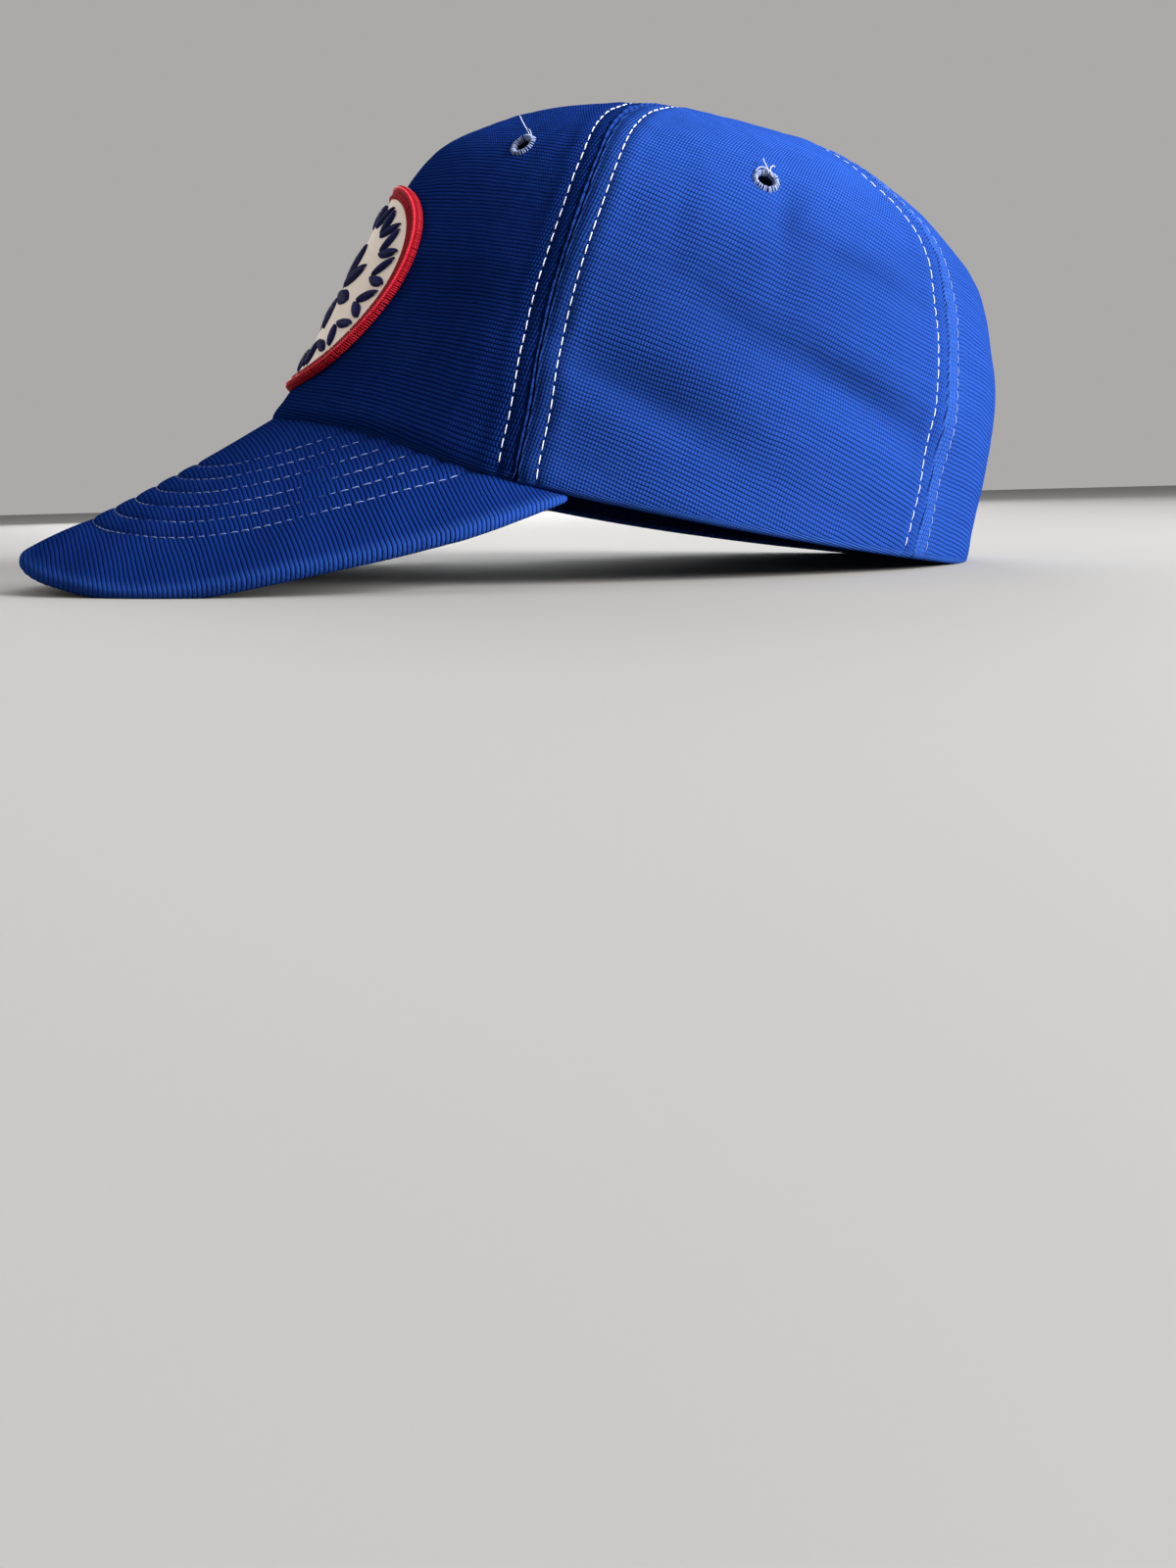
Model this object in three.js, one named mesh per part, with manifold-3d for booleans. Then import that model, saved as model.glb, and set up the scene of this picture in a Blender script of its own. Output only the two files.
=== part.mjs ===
// A five-panel trucker cap: foam-backed knit crown, curved visor, sewn eyelets and a round patch.
// Millimetres, +Z up. The visor points along -Y and the wearer's left side is +X.
// The cap stands by itself on the two low sides of the visor and on the back of its rim, at Z = 0.

import * as THREE from "three";
import { mergeVertices } from "three/addons/utils/BufferGeometryUtils.js";
import Module from "manifold-3d";

const wasm = await Module();
wasm.setup();

// Crown. Each row is an oval hoop from the rim up to the apex. It runs through a front and a back
// point on the cap's middle plane and is twice "half" wide.
const HOOPS = [
  { frontY: -76, frontZ: 28.5, backY: 133, backZ: -2, half: 82 },
  { frontY: -64.5, frontZ: 48, backY: 138.5, backZ: 26, half: 83 },
  { frontY: -53, frontZ: 71, backY: 141.5, backZ: 49.5, half: 77 },
  { frontY: -29.5, frontZ: 109.5, backY: 135, backZ: 77, half: 65 },
  { frontY: -9.5, frontZ: 122.5, backY: 114, backZ: 100, half: 49 },
  { frontY: 18, frontZ: 127, backY: 87, backZ: 114.5, half: 28 },
  { frontY: 47.5, frontZ: 124.5, backY: 47.5, backZ: 124.5, half: 0 },
];
const WALL = 2.0; // knit cover with its foam backing
const SEAM_GAP = 0.3; // clearance between pieces that are sewn together
const FRONT_PEAK = 8.5; // how far the foam front comes to a point along its middle
const PEAK_FADE = [0.4, 0.93]; // shares of the height between which that point dies out
const FRONT_ARCH = 15; // how far the rim lifts over the middle of the visor
const ARCH_POWER = 2.2; // how fast that lift falls off to the sides
const EAR_DROP = 1.7; // how far the rim dips over the ears
const RIM_FADE = 0.5; // share of the crown's height over which the lift and the dip die out
const TIP_UP = 0.995; // panels stop just short of the apex, where the seams meet
const HEM_UP = 0.02; // the folded hem: its share of the height, and how far its foot tucks in
const HEM_TUCK = 1.2;

// Panels, by the angles of the seams that bound them, measured from the middle of the front.
const FRONT_SEAM = 65.5;
const BACK_SEAM = 128;
const SEAM_BOW = 7; // degrees that the front seams bow forward half way up
const PANELS = [
  { name: "front_panel", from: -FRONT_SEAM, to: FRONT_SEAM, columns: 34 },
  { name: "side_panel_left", from: FRONT_SEAM, to: BACK_SEAM, columns: 13 },
  { name: "side_panel_right", from: -BACK_SEAM, to: -FRONT_SEAM, columns: 13 },
  { name: "back_panel_left", from: BACK_SEAM, to: 180, columns: 9 },
  { name: "back_panel_right", from: -180, to: -BACK_SEAM, columns: 9 },
];
const PANEL_ROWS = 17;

// Soft dents pressed into both sides of the crown, as ovals across the cloth.
const DENTS = [
  { around: 77, up: 0.29, turn: -35, length: 30, width: 11, depth: 2.6 },
  { around: 111, up: 0.325, turn: -30, length: 24, width: 10, depth: 2.0 },
];

// Visor. The root follows the front of the rim, and the outer edge is half a squared-off oval.
const VISOR_SPAN = 71.5; // angle of its corners from the middle of the front
const VISOR_HALF = 87;
const VISOR_SQUARE = 2.2; // exponent of the oval, 2 for a plain ellipse
const VISOR_TIP_Y = -141.1;
const VISOR_CORNER_Y = 4;
const VISOR_THICK = 3.2;
const VISOR_ROLL = 1.2; // how far the covered edge rounds out
const VISOR_SAG = 1.0; // how far it dips between its root and its edge
const CORNER_FROM = 0.86; // share of the half width where the corners start to run into the rim
const CORNER_PULL = 0.92;
const CORNER_THIN = 0.55; // share of the thickness that the corners lose
const ROOT_INSET = 1.0; // how far the root runs in under the crown's wall, and how far below it
const ROOT_DROP = 1.1;
const VISOR_COLUMNS = 40;
const VISOR_ROWS = 8;
// Height of the outer edge's underside, in even steps from the middle to a corner.
const VISOR_EDGE = [
  { across: 0, rise: 7.4 },
  { across: 0.25, rise: 2.5 },
  { across: 0.5, rise: -1.3 },
  { across: 0.75, rise: 6.3 },
  { across: 1, rise: 17.7 },
];

// Eyelets: thread rings worked round a hole.
const EYELETS = [
  { name: "eyelet_front_left", panel: "front_panel", around: 35, up: 0.532 },
  { name: "eyelet_front_right", panel: "front_panel", around: -35, up: 0.532 },
  { name: "eyelet_side_left", panel: "side_panel_left", around: 89.5, up: 0.533 },
  { name: "eyelet_side_right", panel: "side_panel_right", around: -89.5, up: 0.533 },
];
const EYELET_OUTER = 4.0;
const EYELET_BORE = 2.4;
const EYELET_SLEEVE = 0.5;
const EYELET_FLANGE = 0.9;
const EYELET_CLEAR = 0.45;
const EYELET_SIDES = 16;
const DRILL_LENGTH = 12;

// Patch: a twill disc inside a thick overlocked border.
const PATCH_RISE = 43.5; // from the rim to its middle, over the cloth
const PATCH_RADIUS = 34;
const PATCH_THICK = 1.2;
const BORDER_WIDTH = 3.2;
const BORDER_HEIGHT = 2.2;
const PATCH_RINGS = 7;
const PATCH_SIDES = 40;

const KNIT_BLUE = new THREE.MeshStandardMaterial({ color: 0x1f3f9e, roughness: 0.75, metalness: 0 });
const THREAD_WHITE = new THREE.MeshStandardMaterial({ color: 0xdfe6f5, roughness: 0.6, metalness: 0 });
const TWILL_WHITE = new THREE.MeshStandardMaterial({ color: 0xe8e6e0, roughness: 0.8, metalness: 0 });
const BORDER_RED = new THREE.MeshStandardMaterial({ color: 0xb3262c, roughness: 0.6, metalness: 0 });

const frontLine = new THREE.SplineCurve(HOOPS.map((hoop) => new THREE.Vector2(hoop.frontY, hoop.frontZ)));
const backLine = new THREE.SplineCurve(HOOPS.map((hoop) => new THREE.Vector2(hoop.backY, hoop.backZ)));
const halfLine = new THREE.SplineCurve(HOOPS.map((hoop, row) => new THREE.Vector2(hoop.half, row)));
const edgeLine = new THREE.SplineCurve(VISOR_EDGE.map((row) => new THREE.Vector2(row.across, row.rise)));

const radians = THREE.MathUtils.degToRad;

// A point of the smooth outer face, "around" in radians from the front and "up" from rim to apex.
function plainCrown(around, up) {
  const front = frontLine.getPoint(up);
  const back = backLine.getPoint(up);
  const half = halfLine.getPoint(up).x;
  const fore = (1 + Math.cos(around)) / 2;
  const toSeam = Math.min(1, Math.abs(around) / radians(FRONT_SEAM));
  const pointed = FRONT_PEAK * (1 - THREE.MathUtils.smoothstep(up, ...PEAK_FADE));
  const peak = pointed * Math.sin(Math.PI * toSeam) ** 2;
  const faded = Math.max(0, 1 - up / RIM_FADE) ** 2;
  const lift = FRONT_ARCH * fore ** ARCH_POWER - EAR_DROP * Math.sin(around) ** 2;
  return new THREE.Vector3(
    half * Math.sin(around),
    back.x + (front.x - back.x) * fore + peak,
    back.y + (front.y - back.y) * fore + faded * lift,
  );
}

const STEP = 1e-3;

// The directions along the cloth, round the crown and up it, and the outward normal.
function crownFrame(around, up) {
  const low = Math.max(0, up - STEP);
  const high = Math.min(1, up + STEP);
  const along = plainCrown(around + STEP, up).sub(plainCrown(around - STEP, up)).divideScalar(2 * STEP);
  const rise = plainCrown(around, high).sub(plainCrown(around, low)).divideScalar(high - low);
  return { along, rise, normal: along.clone().cross(rise).normalize() };
}

// Depth of the dents at a point, with distances measured over the cloth from each dent's middle.
function dentDepth(around, up) {
  const here = plainCrown(Math.abs(around), up);
  let depth = 0;
  for (const dent of DENTS) {
    const middle = radians(dent.around);
    const frame = crownFrame(middle, dent.up);
    const offset = here.clone().sub(plainCrown(middle, dent.up));
    const sideways = offset.dot(frame.along.normalize());
    const upward = offset.dot(frame.rise.normalize());
    const turn = radians(dent.turn);
    const lengthwise = sideways * Math.cos(turn) + upward * Math.sin(turn);
    const crosswise = upward * Math.cos(turn) - sideways * Math.sin(turn);
    depth += dent.depth * Math.exp(-((lengthwise / dent.length) ** 2) - (crosswise / dent.width) ** 2);
  }
  return depth;
}

// A point that stands "out" from the crown's outer face, below zero inside the wall.
function crownPoint(around, up, out = 0) {
  const { normal } = crownFrame(around, up);
  return plainCrown(around, up).addScaledVector(normal, out - dentDepth(around, up));
}

// Joins the corners that meet, drops the triangles that this leaves without an area, and moves
// each corner to its new place.
function reshape(geometry, place) {
  geometry.deleteAttribute("normal");
  geometry.deleteAttribute("uv");
  const joined = mergeVertices(geometry);
  const index = joined.getIndex().array;
  const kept = [];
  for (let first = 0; first < index.length; first += 3) {
    const triangle = index.slice(first, first + 3);
    if (new Set(triangle).size === 3) kept.push(...triangle);
  }
  joined.setIndex(kept);
  const corners = joined.getAttribute("position");
  for (let corner = 0; corner < corners.count; corner += 1) {
    const target = place(new THREE.Vector3().fromBufferAttribute(corners, corner));
    corners.setXYZ(corner, target.x, target.y, target.z);
  }
  return joined;
}

function solidOf(geometry) {
  const vertProperties = new Float32Array(geometry.getAttribute("position").array);
  const triVerts = new Uint32Array(geometry.getIndex().array);
  return new wasm.Manifold(new wasm.Mesh({ numProp: 3, vertProperties, triVerts }));
}

function geometryOf(solid) {
  const { vertProperties, triVerts } = solid.getMesh();
  const geometry = new THREE.BufferGeometry();
  geometry.setAttribute("position", new THREE.BufferAttribute(vertProperties, 3));
  geometry.setIndex(new THREE.BufferAttribute(triVerts, 1));
  return geometry;
}

// A seam's angle at a height. Only the two front seams bow.
function seamAngle(seam, up) {
  const bow = Math.abs(seam) === FRONT_SEAM ? SEAM_BOW * Math.sin(Math.PI * up) : 0;
  return radians(seam - Math.sign(seam) * bow);
}

// A block bent to the crown between two seams. Its foot is cut level, and flat where it meets the floor.
function panelGeometry(panel) {
  const block = new THREE.BoxGeometry(1, 1, 1, panel.columns, PANEL_ROWS, 1);
  return reshape(block, (corner) => {
    const row = Math.round((corner.y + 0.5) * PANEL_ROWS);
    const up = row === 0 ? 0 : HEM_UP + (TIP_UP - HEM_UP) * (row - 1) / (PANEL_ROWS - 1);
    const sewn = THREE.MathUtils.lerp(seamAngle(panel.from, up), seamAngle(panel.to, up), corner.x + 0.5);
    const around = sewn - SEAM_GAP * corner.x / crownFrame(sewn, up).along.length();
    const tuck = row === 0 ? HEM_TUCK : 0;
    const point = crownPoint(around, up, (corner.z - 0.5) * WALL - tuck);
    if (row === 0) point.z = crownPoint(around, 0).z;
    point.z = Math.max(point.z, 0);
    return point;
  });
}

// Where an eyelet sits: its middle on the outer face, with local Z along the outward normal.
function eyeletPlace(eyelet) {
  const around = radians(eyelet.around);
  const { normal } = crownFrame(around, eyelet.up);
  const turn = new THREE.Quaternion().setFromUnitVectors(new THREE.Vector3(0, 0, 1), normal);
  return { middle: crownPoint(around, eyelet.up), turn };
}

// A ring of thread with a flange on each face of the wall and a sleeve through it.
function eyeletGeometry() {
  const outside = EYELET_CLEAR;
  const inside = -WALL - EYELET_CLEAR;
  const sleeve = EYELET_BORE + EYELET_SLEEVE;
  const crest = (EYELET_BORE + EYELET_OUTER) / 2;
  const profile = [
    [EYELET_BORE, inside],
    [crest, inside - EYELET_FLANGE],
    [EYELET_OUTER, inside],
    [sleeve, inside],
    [sleeve, outside],
    [EYELET_OUTER, outside],
    [crest, outside + EYELET_FLANGE],
    [EYELET_BORE, outside],
    [EYELET_BORE, inside],
  ];
  const ring = new THREE.LatheGeometry(profile.map(([r, h]) => new THREE.Vector2(r, h)), EYELET_SIDES);
  ring.rotateX(Math.PI / 2);
  return reshape(ring, (corner) => corner);
}

function eyeletDrill(eyelet) {
  const radius = EYELET_BORE + EYELET_SLEEVE + SEAM_GAP;
  const drill = new THREE.CylinderGeometry(radius, radius, DRILL_LENGTH, EYELET_SIDES);
  drill.rotateX(Math.PI / 2);
  const { middle, turn } = eyeletPlace(eyelet);
  drill.applyQuaternion(turn);
  drill.translate(middle.x, middle.y, middle.z);
  return solidOf(reshape(drill, (corner) => corner));
}

// Visor root on the rim, just under the crown's wall.
function visorRoot(across) {
  const around = radians(VISOR_SPAN) * across;
  const rim = crownPoint(around, 0);
  const outward = crownFrame(around, 0).along.cross(new THREE.Vector3(0, 0, 1)).normalize();
  rim.addScaledVector(outward, -ROOT_INSET);
  rim.z -= ROOT_DROP;
  return rim;
}

// 0 over most of the visor, rising to 1 at its corners.
function nearCorner(across) {
  return Math.max(0, (Math.abs(across) - CORNER_FROM) / (1 - CORNER_FROM)) ** 2;
}

function visorEdge(across) {
  const sweep = Math.abs(across) * Math.PI / 2;
  const square = 2 / VISOR_SQUARE;
  const edge = new THREE.Vector3(
    Math.sign(across) * VISOR_HALF * Math.sin(sweep) ** square,
    VISOR_CORNER_Y + (VISOR_TIP_Y - VISOR_CORNER_Y) * Math.max(0, Math.cos(sweep)) ** square,
    edgeLine.getPoint(Math.abs(across)).y + VISOR_THICK,
  );
  return edge.lerp(visorRoot(across), CORNER_PULL * nearCorner(across));
}

function visorThickness(across) {
  return VISOR_THICK * (1 - CORNER_THIN * nearCorner(across));
}

function visorTop(across, forward) {
  const point = visorRoot(across).lerp(visorEdge(across), forward);
  point.z -= VISOR_SAG * 4 * forward * (1 - forward) * (1 - across * across);
  return point;
}

function visorNormal(across, forward) {
  const left = visorTop(Math.max(-1, across - STEP), forward);
  const right = visorTop(Math.min(1, across + STEP), forward);
  const near = visorTop(across, Math.max(0, forward - STEP));
  const far = visorTop(across, Math.min(1, forward + STEP));
  return far.sub(near).cross(right.sub(left)).normalize();
}

// A block bent to the visor, with its middle layer standing out along the rounded edge.
function visorGeometry() {
  const block = new THREE.BoxGeometry(1, 1, 1, VISOR_COLUMNS, VISOR_ROWS, 2);
  return reshape(block, (corner) => {
    const across = corner.x * 2;
    const forward = 0.5 - corner.y;
    const point = visorTop(across, forward);
    point.addScaledVector(visorNormal(across, forward), (corner.z - 0.5) * visorThickness(across));
    if (forward === 1 && corner.z === 0) {
      const outward = visorEdge(across).sub(visorRoot(across)).normalize();
      point.addScaledVector(outward, VISOR_ROLL);
    }
    point.z = Math.max(point.z, 0);
    return point;
  });
}

// The line up the middle of the front, from the rim to the apex.
class MiddleLine extends THREE.Curve {
  getPoint(up) {
    return plainCrown(0, up);
  }
}
const middleLine = new MiddleLine();

// A quarter turn round the crown at one height, from the middle of the front.
class HoopLine extends THREE.Curve {
  constructor(up) {
    super();
    this.up = up;
  }

  getPoint(share) {
    return plainCrown(share * Math.PI / 2, this.up);
  }
}

// Lays a flat piece on the front: its X runs across, its Y up the middle line and its Z outward.
function layOnFront(corner) {
  const up = middleLine.getUtoTmapping(0, PATCH_RISE + corner.y);
  const share = new HoopLine(up).getUtoTmapping(0, Math.abs(corner.x));
  return crownPoint(Math.sign(corner.x) * share * Math.PI / 2, up, corner.z);
}

function patchGroundGeometry() {
  const radius = PATCH_RADIUS - BORDER_WIDTH - SEAM_GAP;
  const rings = Array.from({ length: PATCH_RINGS + 1 }, (_, ring) => radius * ring / PATCH_RINGS);
  const under = rings.map((r) => new THREE.Vector2(r, SEAM_GAP));
  const over = rings.map((r) => new THREE.Vector2(r, SEAM_GAP + PATCH_THICK)).reverse();
  const disc = new THREE.LatheGeometry([...under, ...over], PATCH_SIDES);
  disc.rotateX(Math.PI / 2);
  return reshape(disc, layOnFront);
}

function patchBorderGeometry() {
  const inner = PATCH_RADIUS - BORDER_WIDTH;
  const shoulder = BORDER_WIDTH / 4;
  const top = SEAM_GAP + BORDER_HEIGHT;
  const side = SEAM_GAP + BORDER_HEIGHT / 2;
  const profile = [
    [inner, SEAM_GAP],
    [PATCH_RADIUS, SEAM_GAP],
    [PATCH_RADIUS, side],
    [PATCH_RADIUS - shoulder, top],
    [inner + shoulder, top],
    [inner, side],
    [inner, SEAM_GAP],
  ];
  const ring = new THREE.LatheGeometry(profile.map(([r, h]) => new THREE.Vector2(r, h)), PATCH_SIDES);
  ring.rotateX(Math.PI / 2);
  return reshape(ring, layOnFront);
}

const cap = new THREE.Group();

function addPiece(name, geometry, material) {
  const piece = new THREE.Mesh(geometry, material);
  piece.name = name;
  cap.add(piece);
  return piece;
}

for (const panel of PANELS) {
  let cloth = solidOf(panelGeometry(panel));
  for (const eyelet of EYELETS.filter((row) => row.panel === panel.name)) {
    cloth = cloth.subtract(eyeletDrill(eyelet));
  }
  addPiece(panel.name, geometryOf(cloth), KNIT_BLUE);
}

addPiece("visor", visorGeometry(), KNIT_BLUE);

for (const eyelet of EYELETS) {
  const ring = addPiece(eyelet.name, eyeletGeometry(), THREAD_WHITE);
  const { middle, turn } = eyeletPlace(eyelet);
  ring.position.copy(middle);
  ring.quaternion.copy(turn);
}

addPiece("patch_ground", patchGroundGeometry(), TWILL_WHITE);
addPiece("patch_border", patchBorderGeometry(), BORDER_RED);

export default cap;
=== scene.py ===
# %% [markdown]
# # A foam-backed trucker cap
#
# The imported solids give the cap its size, its seams and the way it stands on its visor and the back
# of its rim. This lesson dresses them: it repeats the few curves that shape the crown and the visor,
# lays dense cloth over them, sews it with real stitches and then mixes the knit, thread and twill.
# All sizes here are in millimetres and become metres only when a mesh is made.

# %% Load the frame
import math

import bmesh
import bpy
import numpy as np
from mathutils import Matrix, Vector


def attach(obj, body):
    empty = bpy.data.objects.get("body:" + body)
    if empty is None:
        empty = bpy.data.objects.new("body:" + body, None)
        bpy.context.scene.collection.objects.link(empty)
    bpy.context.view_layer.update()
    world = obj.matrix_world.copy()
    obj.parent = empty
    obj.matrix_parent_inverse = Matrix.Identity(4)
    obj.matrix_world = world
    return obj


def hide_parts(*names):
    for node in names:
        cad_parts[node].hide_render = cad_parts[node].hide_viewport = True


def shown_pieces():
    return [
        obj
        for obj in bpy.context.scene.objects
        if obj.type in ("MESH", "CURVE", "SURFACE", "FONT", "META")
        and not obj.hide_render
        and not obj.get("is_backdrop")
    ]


MM = 0.001
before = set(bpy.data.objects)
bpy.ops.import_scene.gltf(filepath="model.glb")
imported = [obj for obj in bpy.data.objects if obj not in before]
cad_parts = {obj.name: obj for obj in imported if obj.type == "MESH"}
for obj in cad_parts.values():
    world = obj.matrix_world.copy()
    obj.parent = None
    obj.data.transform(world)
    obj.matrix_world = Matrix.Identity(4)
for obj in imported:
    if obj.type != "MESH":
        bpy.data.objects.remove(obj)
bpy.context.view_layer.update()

# %% [markdown]
# ## Camera, floor and light
#
# The photograph was taken from close by, level with the rim, with the visor turned a little towards
# the lens. So the camera stands just off the floor with a short lens. A strong, low key light comes
# from the right of the picture, which leaves the front of the crown in shade. A weak top light, a warm
# fill and a light on the far side open the shadows. Colours are shown as they are, without a film
# curve over them.

# %% Camera
LENS, SENSOR, NEAREST = 31.95, 36, 0.01
FACING = Vector((0, 18.5, 23.1))
STAND_OFF = 425
TURNED = math.radians(12)
LOOK_DOWN = math.radians(11.9)
LEAN = 0.0235

upright = Vector((0, 0, 1))
away = Vector((-math.cos(TURNED), math.sin(TURNED), 0))
sideways = Vector((math.sin(TURNED), math.cos(TURNED), 0))
level_up = (upright + LEAN * sideways).normalized()
level_right = (sideways - LEAN * upright).normalized()
looking = away * math.cos(LOOK_DOWN) - level_up * math.sin(LOOK_DOWN)
camera_up = level_up * math.cos(LOOK_DOWN) + away * math.sin(LOOK_DOWN)

camera = bpy.data.objects.new("camera", bpy.data.cameras.new("camera"))
camera.data.lens = LENS
camera.data.sensor_width = SENSOR
camera.data.clip_start = NEAREST
turn = Matrix((level_right, camera_up, -looking)).transposed()
camera.matrix_world = Matrix.Translation((FACING - away * STAND_OFF) * MM) @ turn.to_4x4()
bpy.context.collection.objects.link(camera)
bpy.context.scene.camera = camera
bpy.context.scene.view_settings.view_transform = "Standard"
print("camera looks along", [round(value, 3) for value in looking])

# %% Floor
FLOOR_HALF = 3.0
FLOOR_GREY, FLOOR_ROUGHNESS = (0.22, 0.217, 0.212), 0.9


def plain_material(name, colour, roughness):
    material = bpy.data.materials.new(name)
    material.use_nodes = True
    shader = material.node_tree.nodes["Principled BSDF"]
    shader.inputs["Base Color"].default_value = (*colour, 1)
    shader.inputs["Roughness"].default_value = roughness
    return material


floor_mesh = bpy.data.meshes.new("floor")
floor_corners = [(x * FLOOR_HALF, y * FLOOR_HALF, 0) for x, y in ((-1, -1), (1, -1), (1, 1), (-1, 1))]
floor_mesh.from_pydata(floor_corners, [], [(0, 1, 2, 3)])
floor_mesh.materials.append(plain_material("floor paper", FLOOR_GREY, FLOOR_ROUGHNESS))
floor = bpy.data.objects.new("floor", floor_mesh)
bpy.context.collection.objects.link(floor)
floor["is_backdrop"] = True
print("floor of", 2 * FLOOR_HALF, "m")

# %% Lights
# name, place in m, size in m, watts, colour
LIGHTS = (
    ("key", (0.84, 1.08, 0.46), 0.6, 92, (1.0, 0.99, 0.97)),
    ("top", (0.3, 0.4, 1.4), 1.0, 4, (0.97, 0.98, 1.0)),
    ("fill", (-0.5, -1.2, 0.75), 0.9, 8, (1.0, 0.95, 0.9)),
    ("far side", (-1.15, 0.1, 0.5), 0.9, 16, (0.97, 0.98, 1.0)),
)
AIM = Vector((0, 0, 0.06))
STUDIO_GREY = (0.41, 0.4, 0.39)
for name, place, size, watts, colour in LIGHTS:
    lamp = bpy.data.lights.new(name, "AREA")
    lamp.size = size
    lamp.energy = watts
    lamp.color = colour
    holder = bpy.data.objects.new(name, lamp)
    holder.location = place
    holder.rotation_euler = (AIM - Vector(place)).to_track_quat("-Z", "Y").to_euler()
    bpy.context.collection.objects.link(holder)

world = bpy.data.worlds.new("studio")
world.use_nodes = True
surround = world.node_tree.nodes["Background"]
surround.inputs["Color"].default_value = (*STUDIO_GREY, 1)
surround.inputs["Strength"].default_value = 1.0
bpy.context.scene.world = world
print("lights:", [row[0] for row in LIGHTS])

# %% [markdown]
# ## The crown's form
#
# A crown like this is blocked over a head shape. It is described here by a few oval hoops from the
# rim to the apex. Each hoop passes through a front and a back point on the middle plane, and a
# smooth curve runs through the hoops, so that any point of the cloth has two numbers: the angle
# around from the middle of the front, and the share of the way up.

# %% Hoops and the smooth face through them
# front y, front z, back y, back z and half the width, from the rim to the apex
HOOPS = np.array([
    (-76, 28.5, 133, -2, 82),
    (-64.5, 48, 138.5, 26, 83),
    (-53, 71, 141.5, 49.5, 77),
    (-29.5, 109.5, 135, 77, 65),
    (-9.5, 122.5, 114, 100, 49),
    (18, 127, 87, 114.5, 28),
    (47.5, 124.5, 47.5, 124.5, 0),
])
FRONT_Y, FRONT_Z, BACK_Y, BACK_Z, HALF = HOOPS.T
FRONT_SEAM, BACK_SEAM, SEAM_BOW = 65.5, 128, 7
FRONT_PEAK, PEAK_FADE = 8.5, (0.4, 0.93)
FRONT_ARCH, ARCH_POWER, EAR_DROP, RIM_FADE = 15, 2.2, 1.7, 0.5
STEP = 1e-3


def ramp(value, low, high):
    """A smooth step from 0 to 1."""
    share = np.clip((value - low) / (high - low), 0, 1)
    return share * share * (3 - 2 * share)


def spline(values, share):
    """A uniform Catmull-Rom curve through the values, at a share from 0 to 1."""
    values = np.asarray(values, float)
    last = len(values) - 1
    place = np.clip(share, 0, 1) * last
    first = np.minimum(np.floor(place).astype(int), last - 1)
    part = place - first
    start, end = values[first], values[first + 1]
    leave = (end - values[np.maximum(first - 1, 0)]) / 2
    arrive = (values[np.minimum(first + 2, last)] - start) / 2
    bend = 2 * (start - end) + leave + arrive
    ease = 3 * (end - start) - 2 * leave - arrive
    return ((bend * part + ease) * part + leave) * part + start


def crown(around, up):
    """The smooth outer face, before any seam or dent."""
    fore = (1 + np.cos(around)) / 2
    to_seam = np.clip(np.abs(around) / math.radians(FRONT_SEAM), 0, 1)
    peak = FRONT_PEAK * (1 - ramp(up, *PEAK_FADE)) * np.sin(np.pi * to_seam) ** 2
    faded = np.clip(1 - up / RIM_FADE, 0, None) ** 2
    lift = faded * (FRONT_ARCH * fore ** ARCH_POWER - EAR_DROP * np.sin(around) ** 2)
    back_y, back_z = spline(BACK_Y, up), spline(BACK_Z, up)
    y = back_y + (spline(FRONT_Y, up) - back_y) * fore + peak
    z = back_z + (spline(FRONT_Z, up) - back_z) * fore + lift
    return np.stack(np.broadcast_arrays(spline(HALF, up) * np.sin(around), y, z), axis=-1)


def unit(vectors):
    return vectors / np.maximum(np.linalg.norm(vectors, axis=-1, keepdims=True), 1e-12)


def crown_directions(around, up):
    """The slopes of the face round the crown and up it."""
    low, high = np.maximum(up - STEP, 0), np.minimum(up + STEP, 1)
    along = (crown(around + STEP, up) - crown(around - STEP, up)) / (2 * STEP)
    rise = (crown(around, high) - crown(around, low)) / (high - low)[..., None]
    return along, rise


def crown_normal(around, up):
    along, rise = crown_directions(around, up)
    return unit(np.cross(along, rise))


def run_of(lines):
    """Distance along each line of points, from its start."""
    steps = np.linalg.norm(np.diff(lines, axis=-2), axis=-1)
    return np.concatenate([np.zeros((*steps.shape[:-1], 1)), np.cumsum(steps, axis=-1)], axis=-1)


print("rim, front and back:", crown(np.array([0, np.pi]), np.zeros(2)).round(1).tolist())

# %% [markdown]
# ## Dents and give
#
# Foam-backed knit never lies quite even. Two broad slanting dents are pressed into each side, a little
# lower than in the solids, with two faint creases higher up. The folds are darkened with painted
# shade, where the cloth turns away from the light, so a second table says how much darker each fold
# is. A slow unevenness of a fraction of a millimetre lies over everything: a sum of a few sine waves
# with seeded directions.

# %% Dents
# angle around, share up, turn in degrees, length, width and depth
DENTS = (
    (77, 0.225, -14, 28, 8, 3.2),
    (108, 0.265, -12, 28, 8, 2.7),
    (76, 0.45, 86, 12, 2.2, 0.35),
    (94, 0.46, 86, 20, 4.5, 0.7),
)
# folds darkened with painted shade: angle around, share up, turn in degrees, length, width and how much
SHADED_FOLDS = (
    (76.5, 0.222, -13, 22, 5.5, 1.15),
    (107.5, 0.286, -11, 23, 5.0, 1.0),
    (108, 0.436, -10, 18, 4.5, 0.4),
    (85, 0.372, -26, 17, 5.0, 0.45),
    (94, 0.484, 84, 10, 3.5, 0.55),
    (76, 0.454, 86, 12, 1.8, 0.35),
)
rng = np.random.default_rng(23)
WAVES = 9
WAVE_TURNS = rng.uniform(0, 2 * np.pi, WAVES)
WAVE_STARTS = rng.uniform(0, 2 * np.pi, WAVES)
WAVE_RATES = rng.uniform(0.7, 1.6, WAVES)


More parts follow.
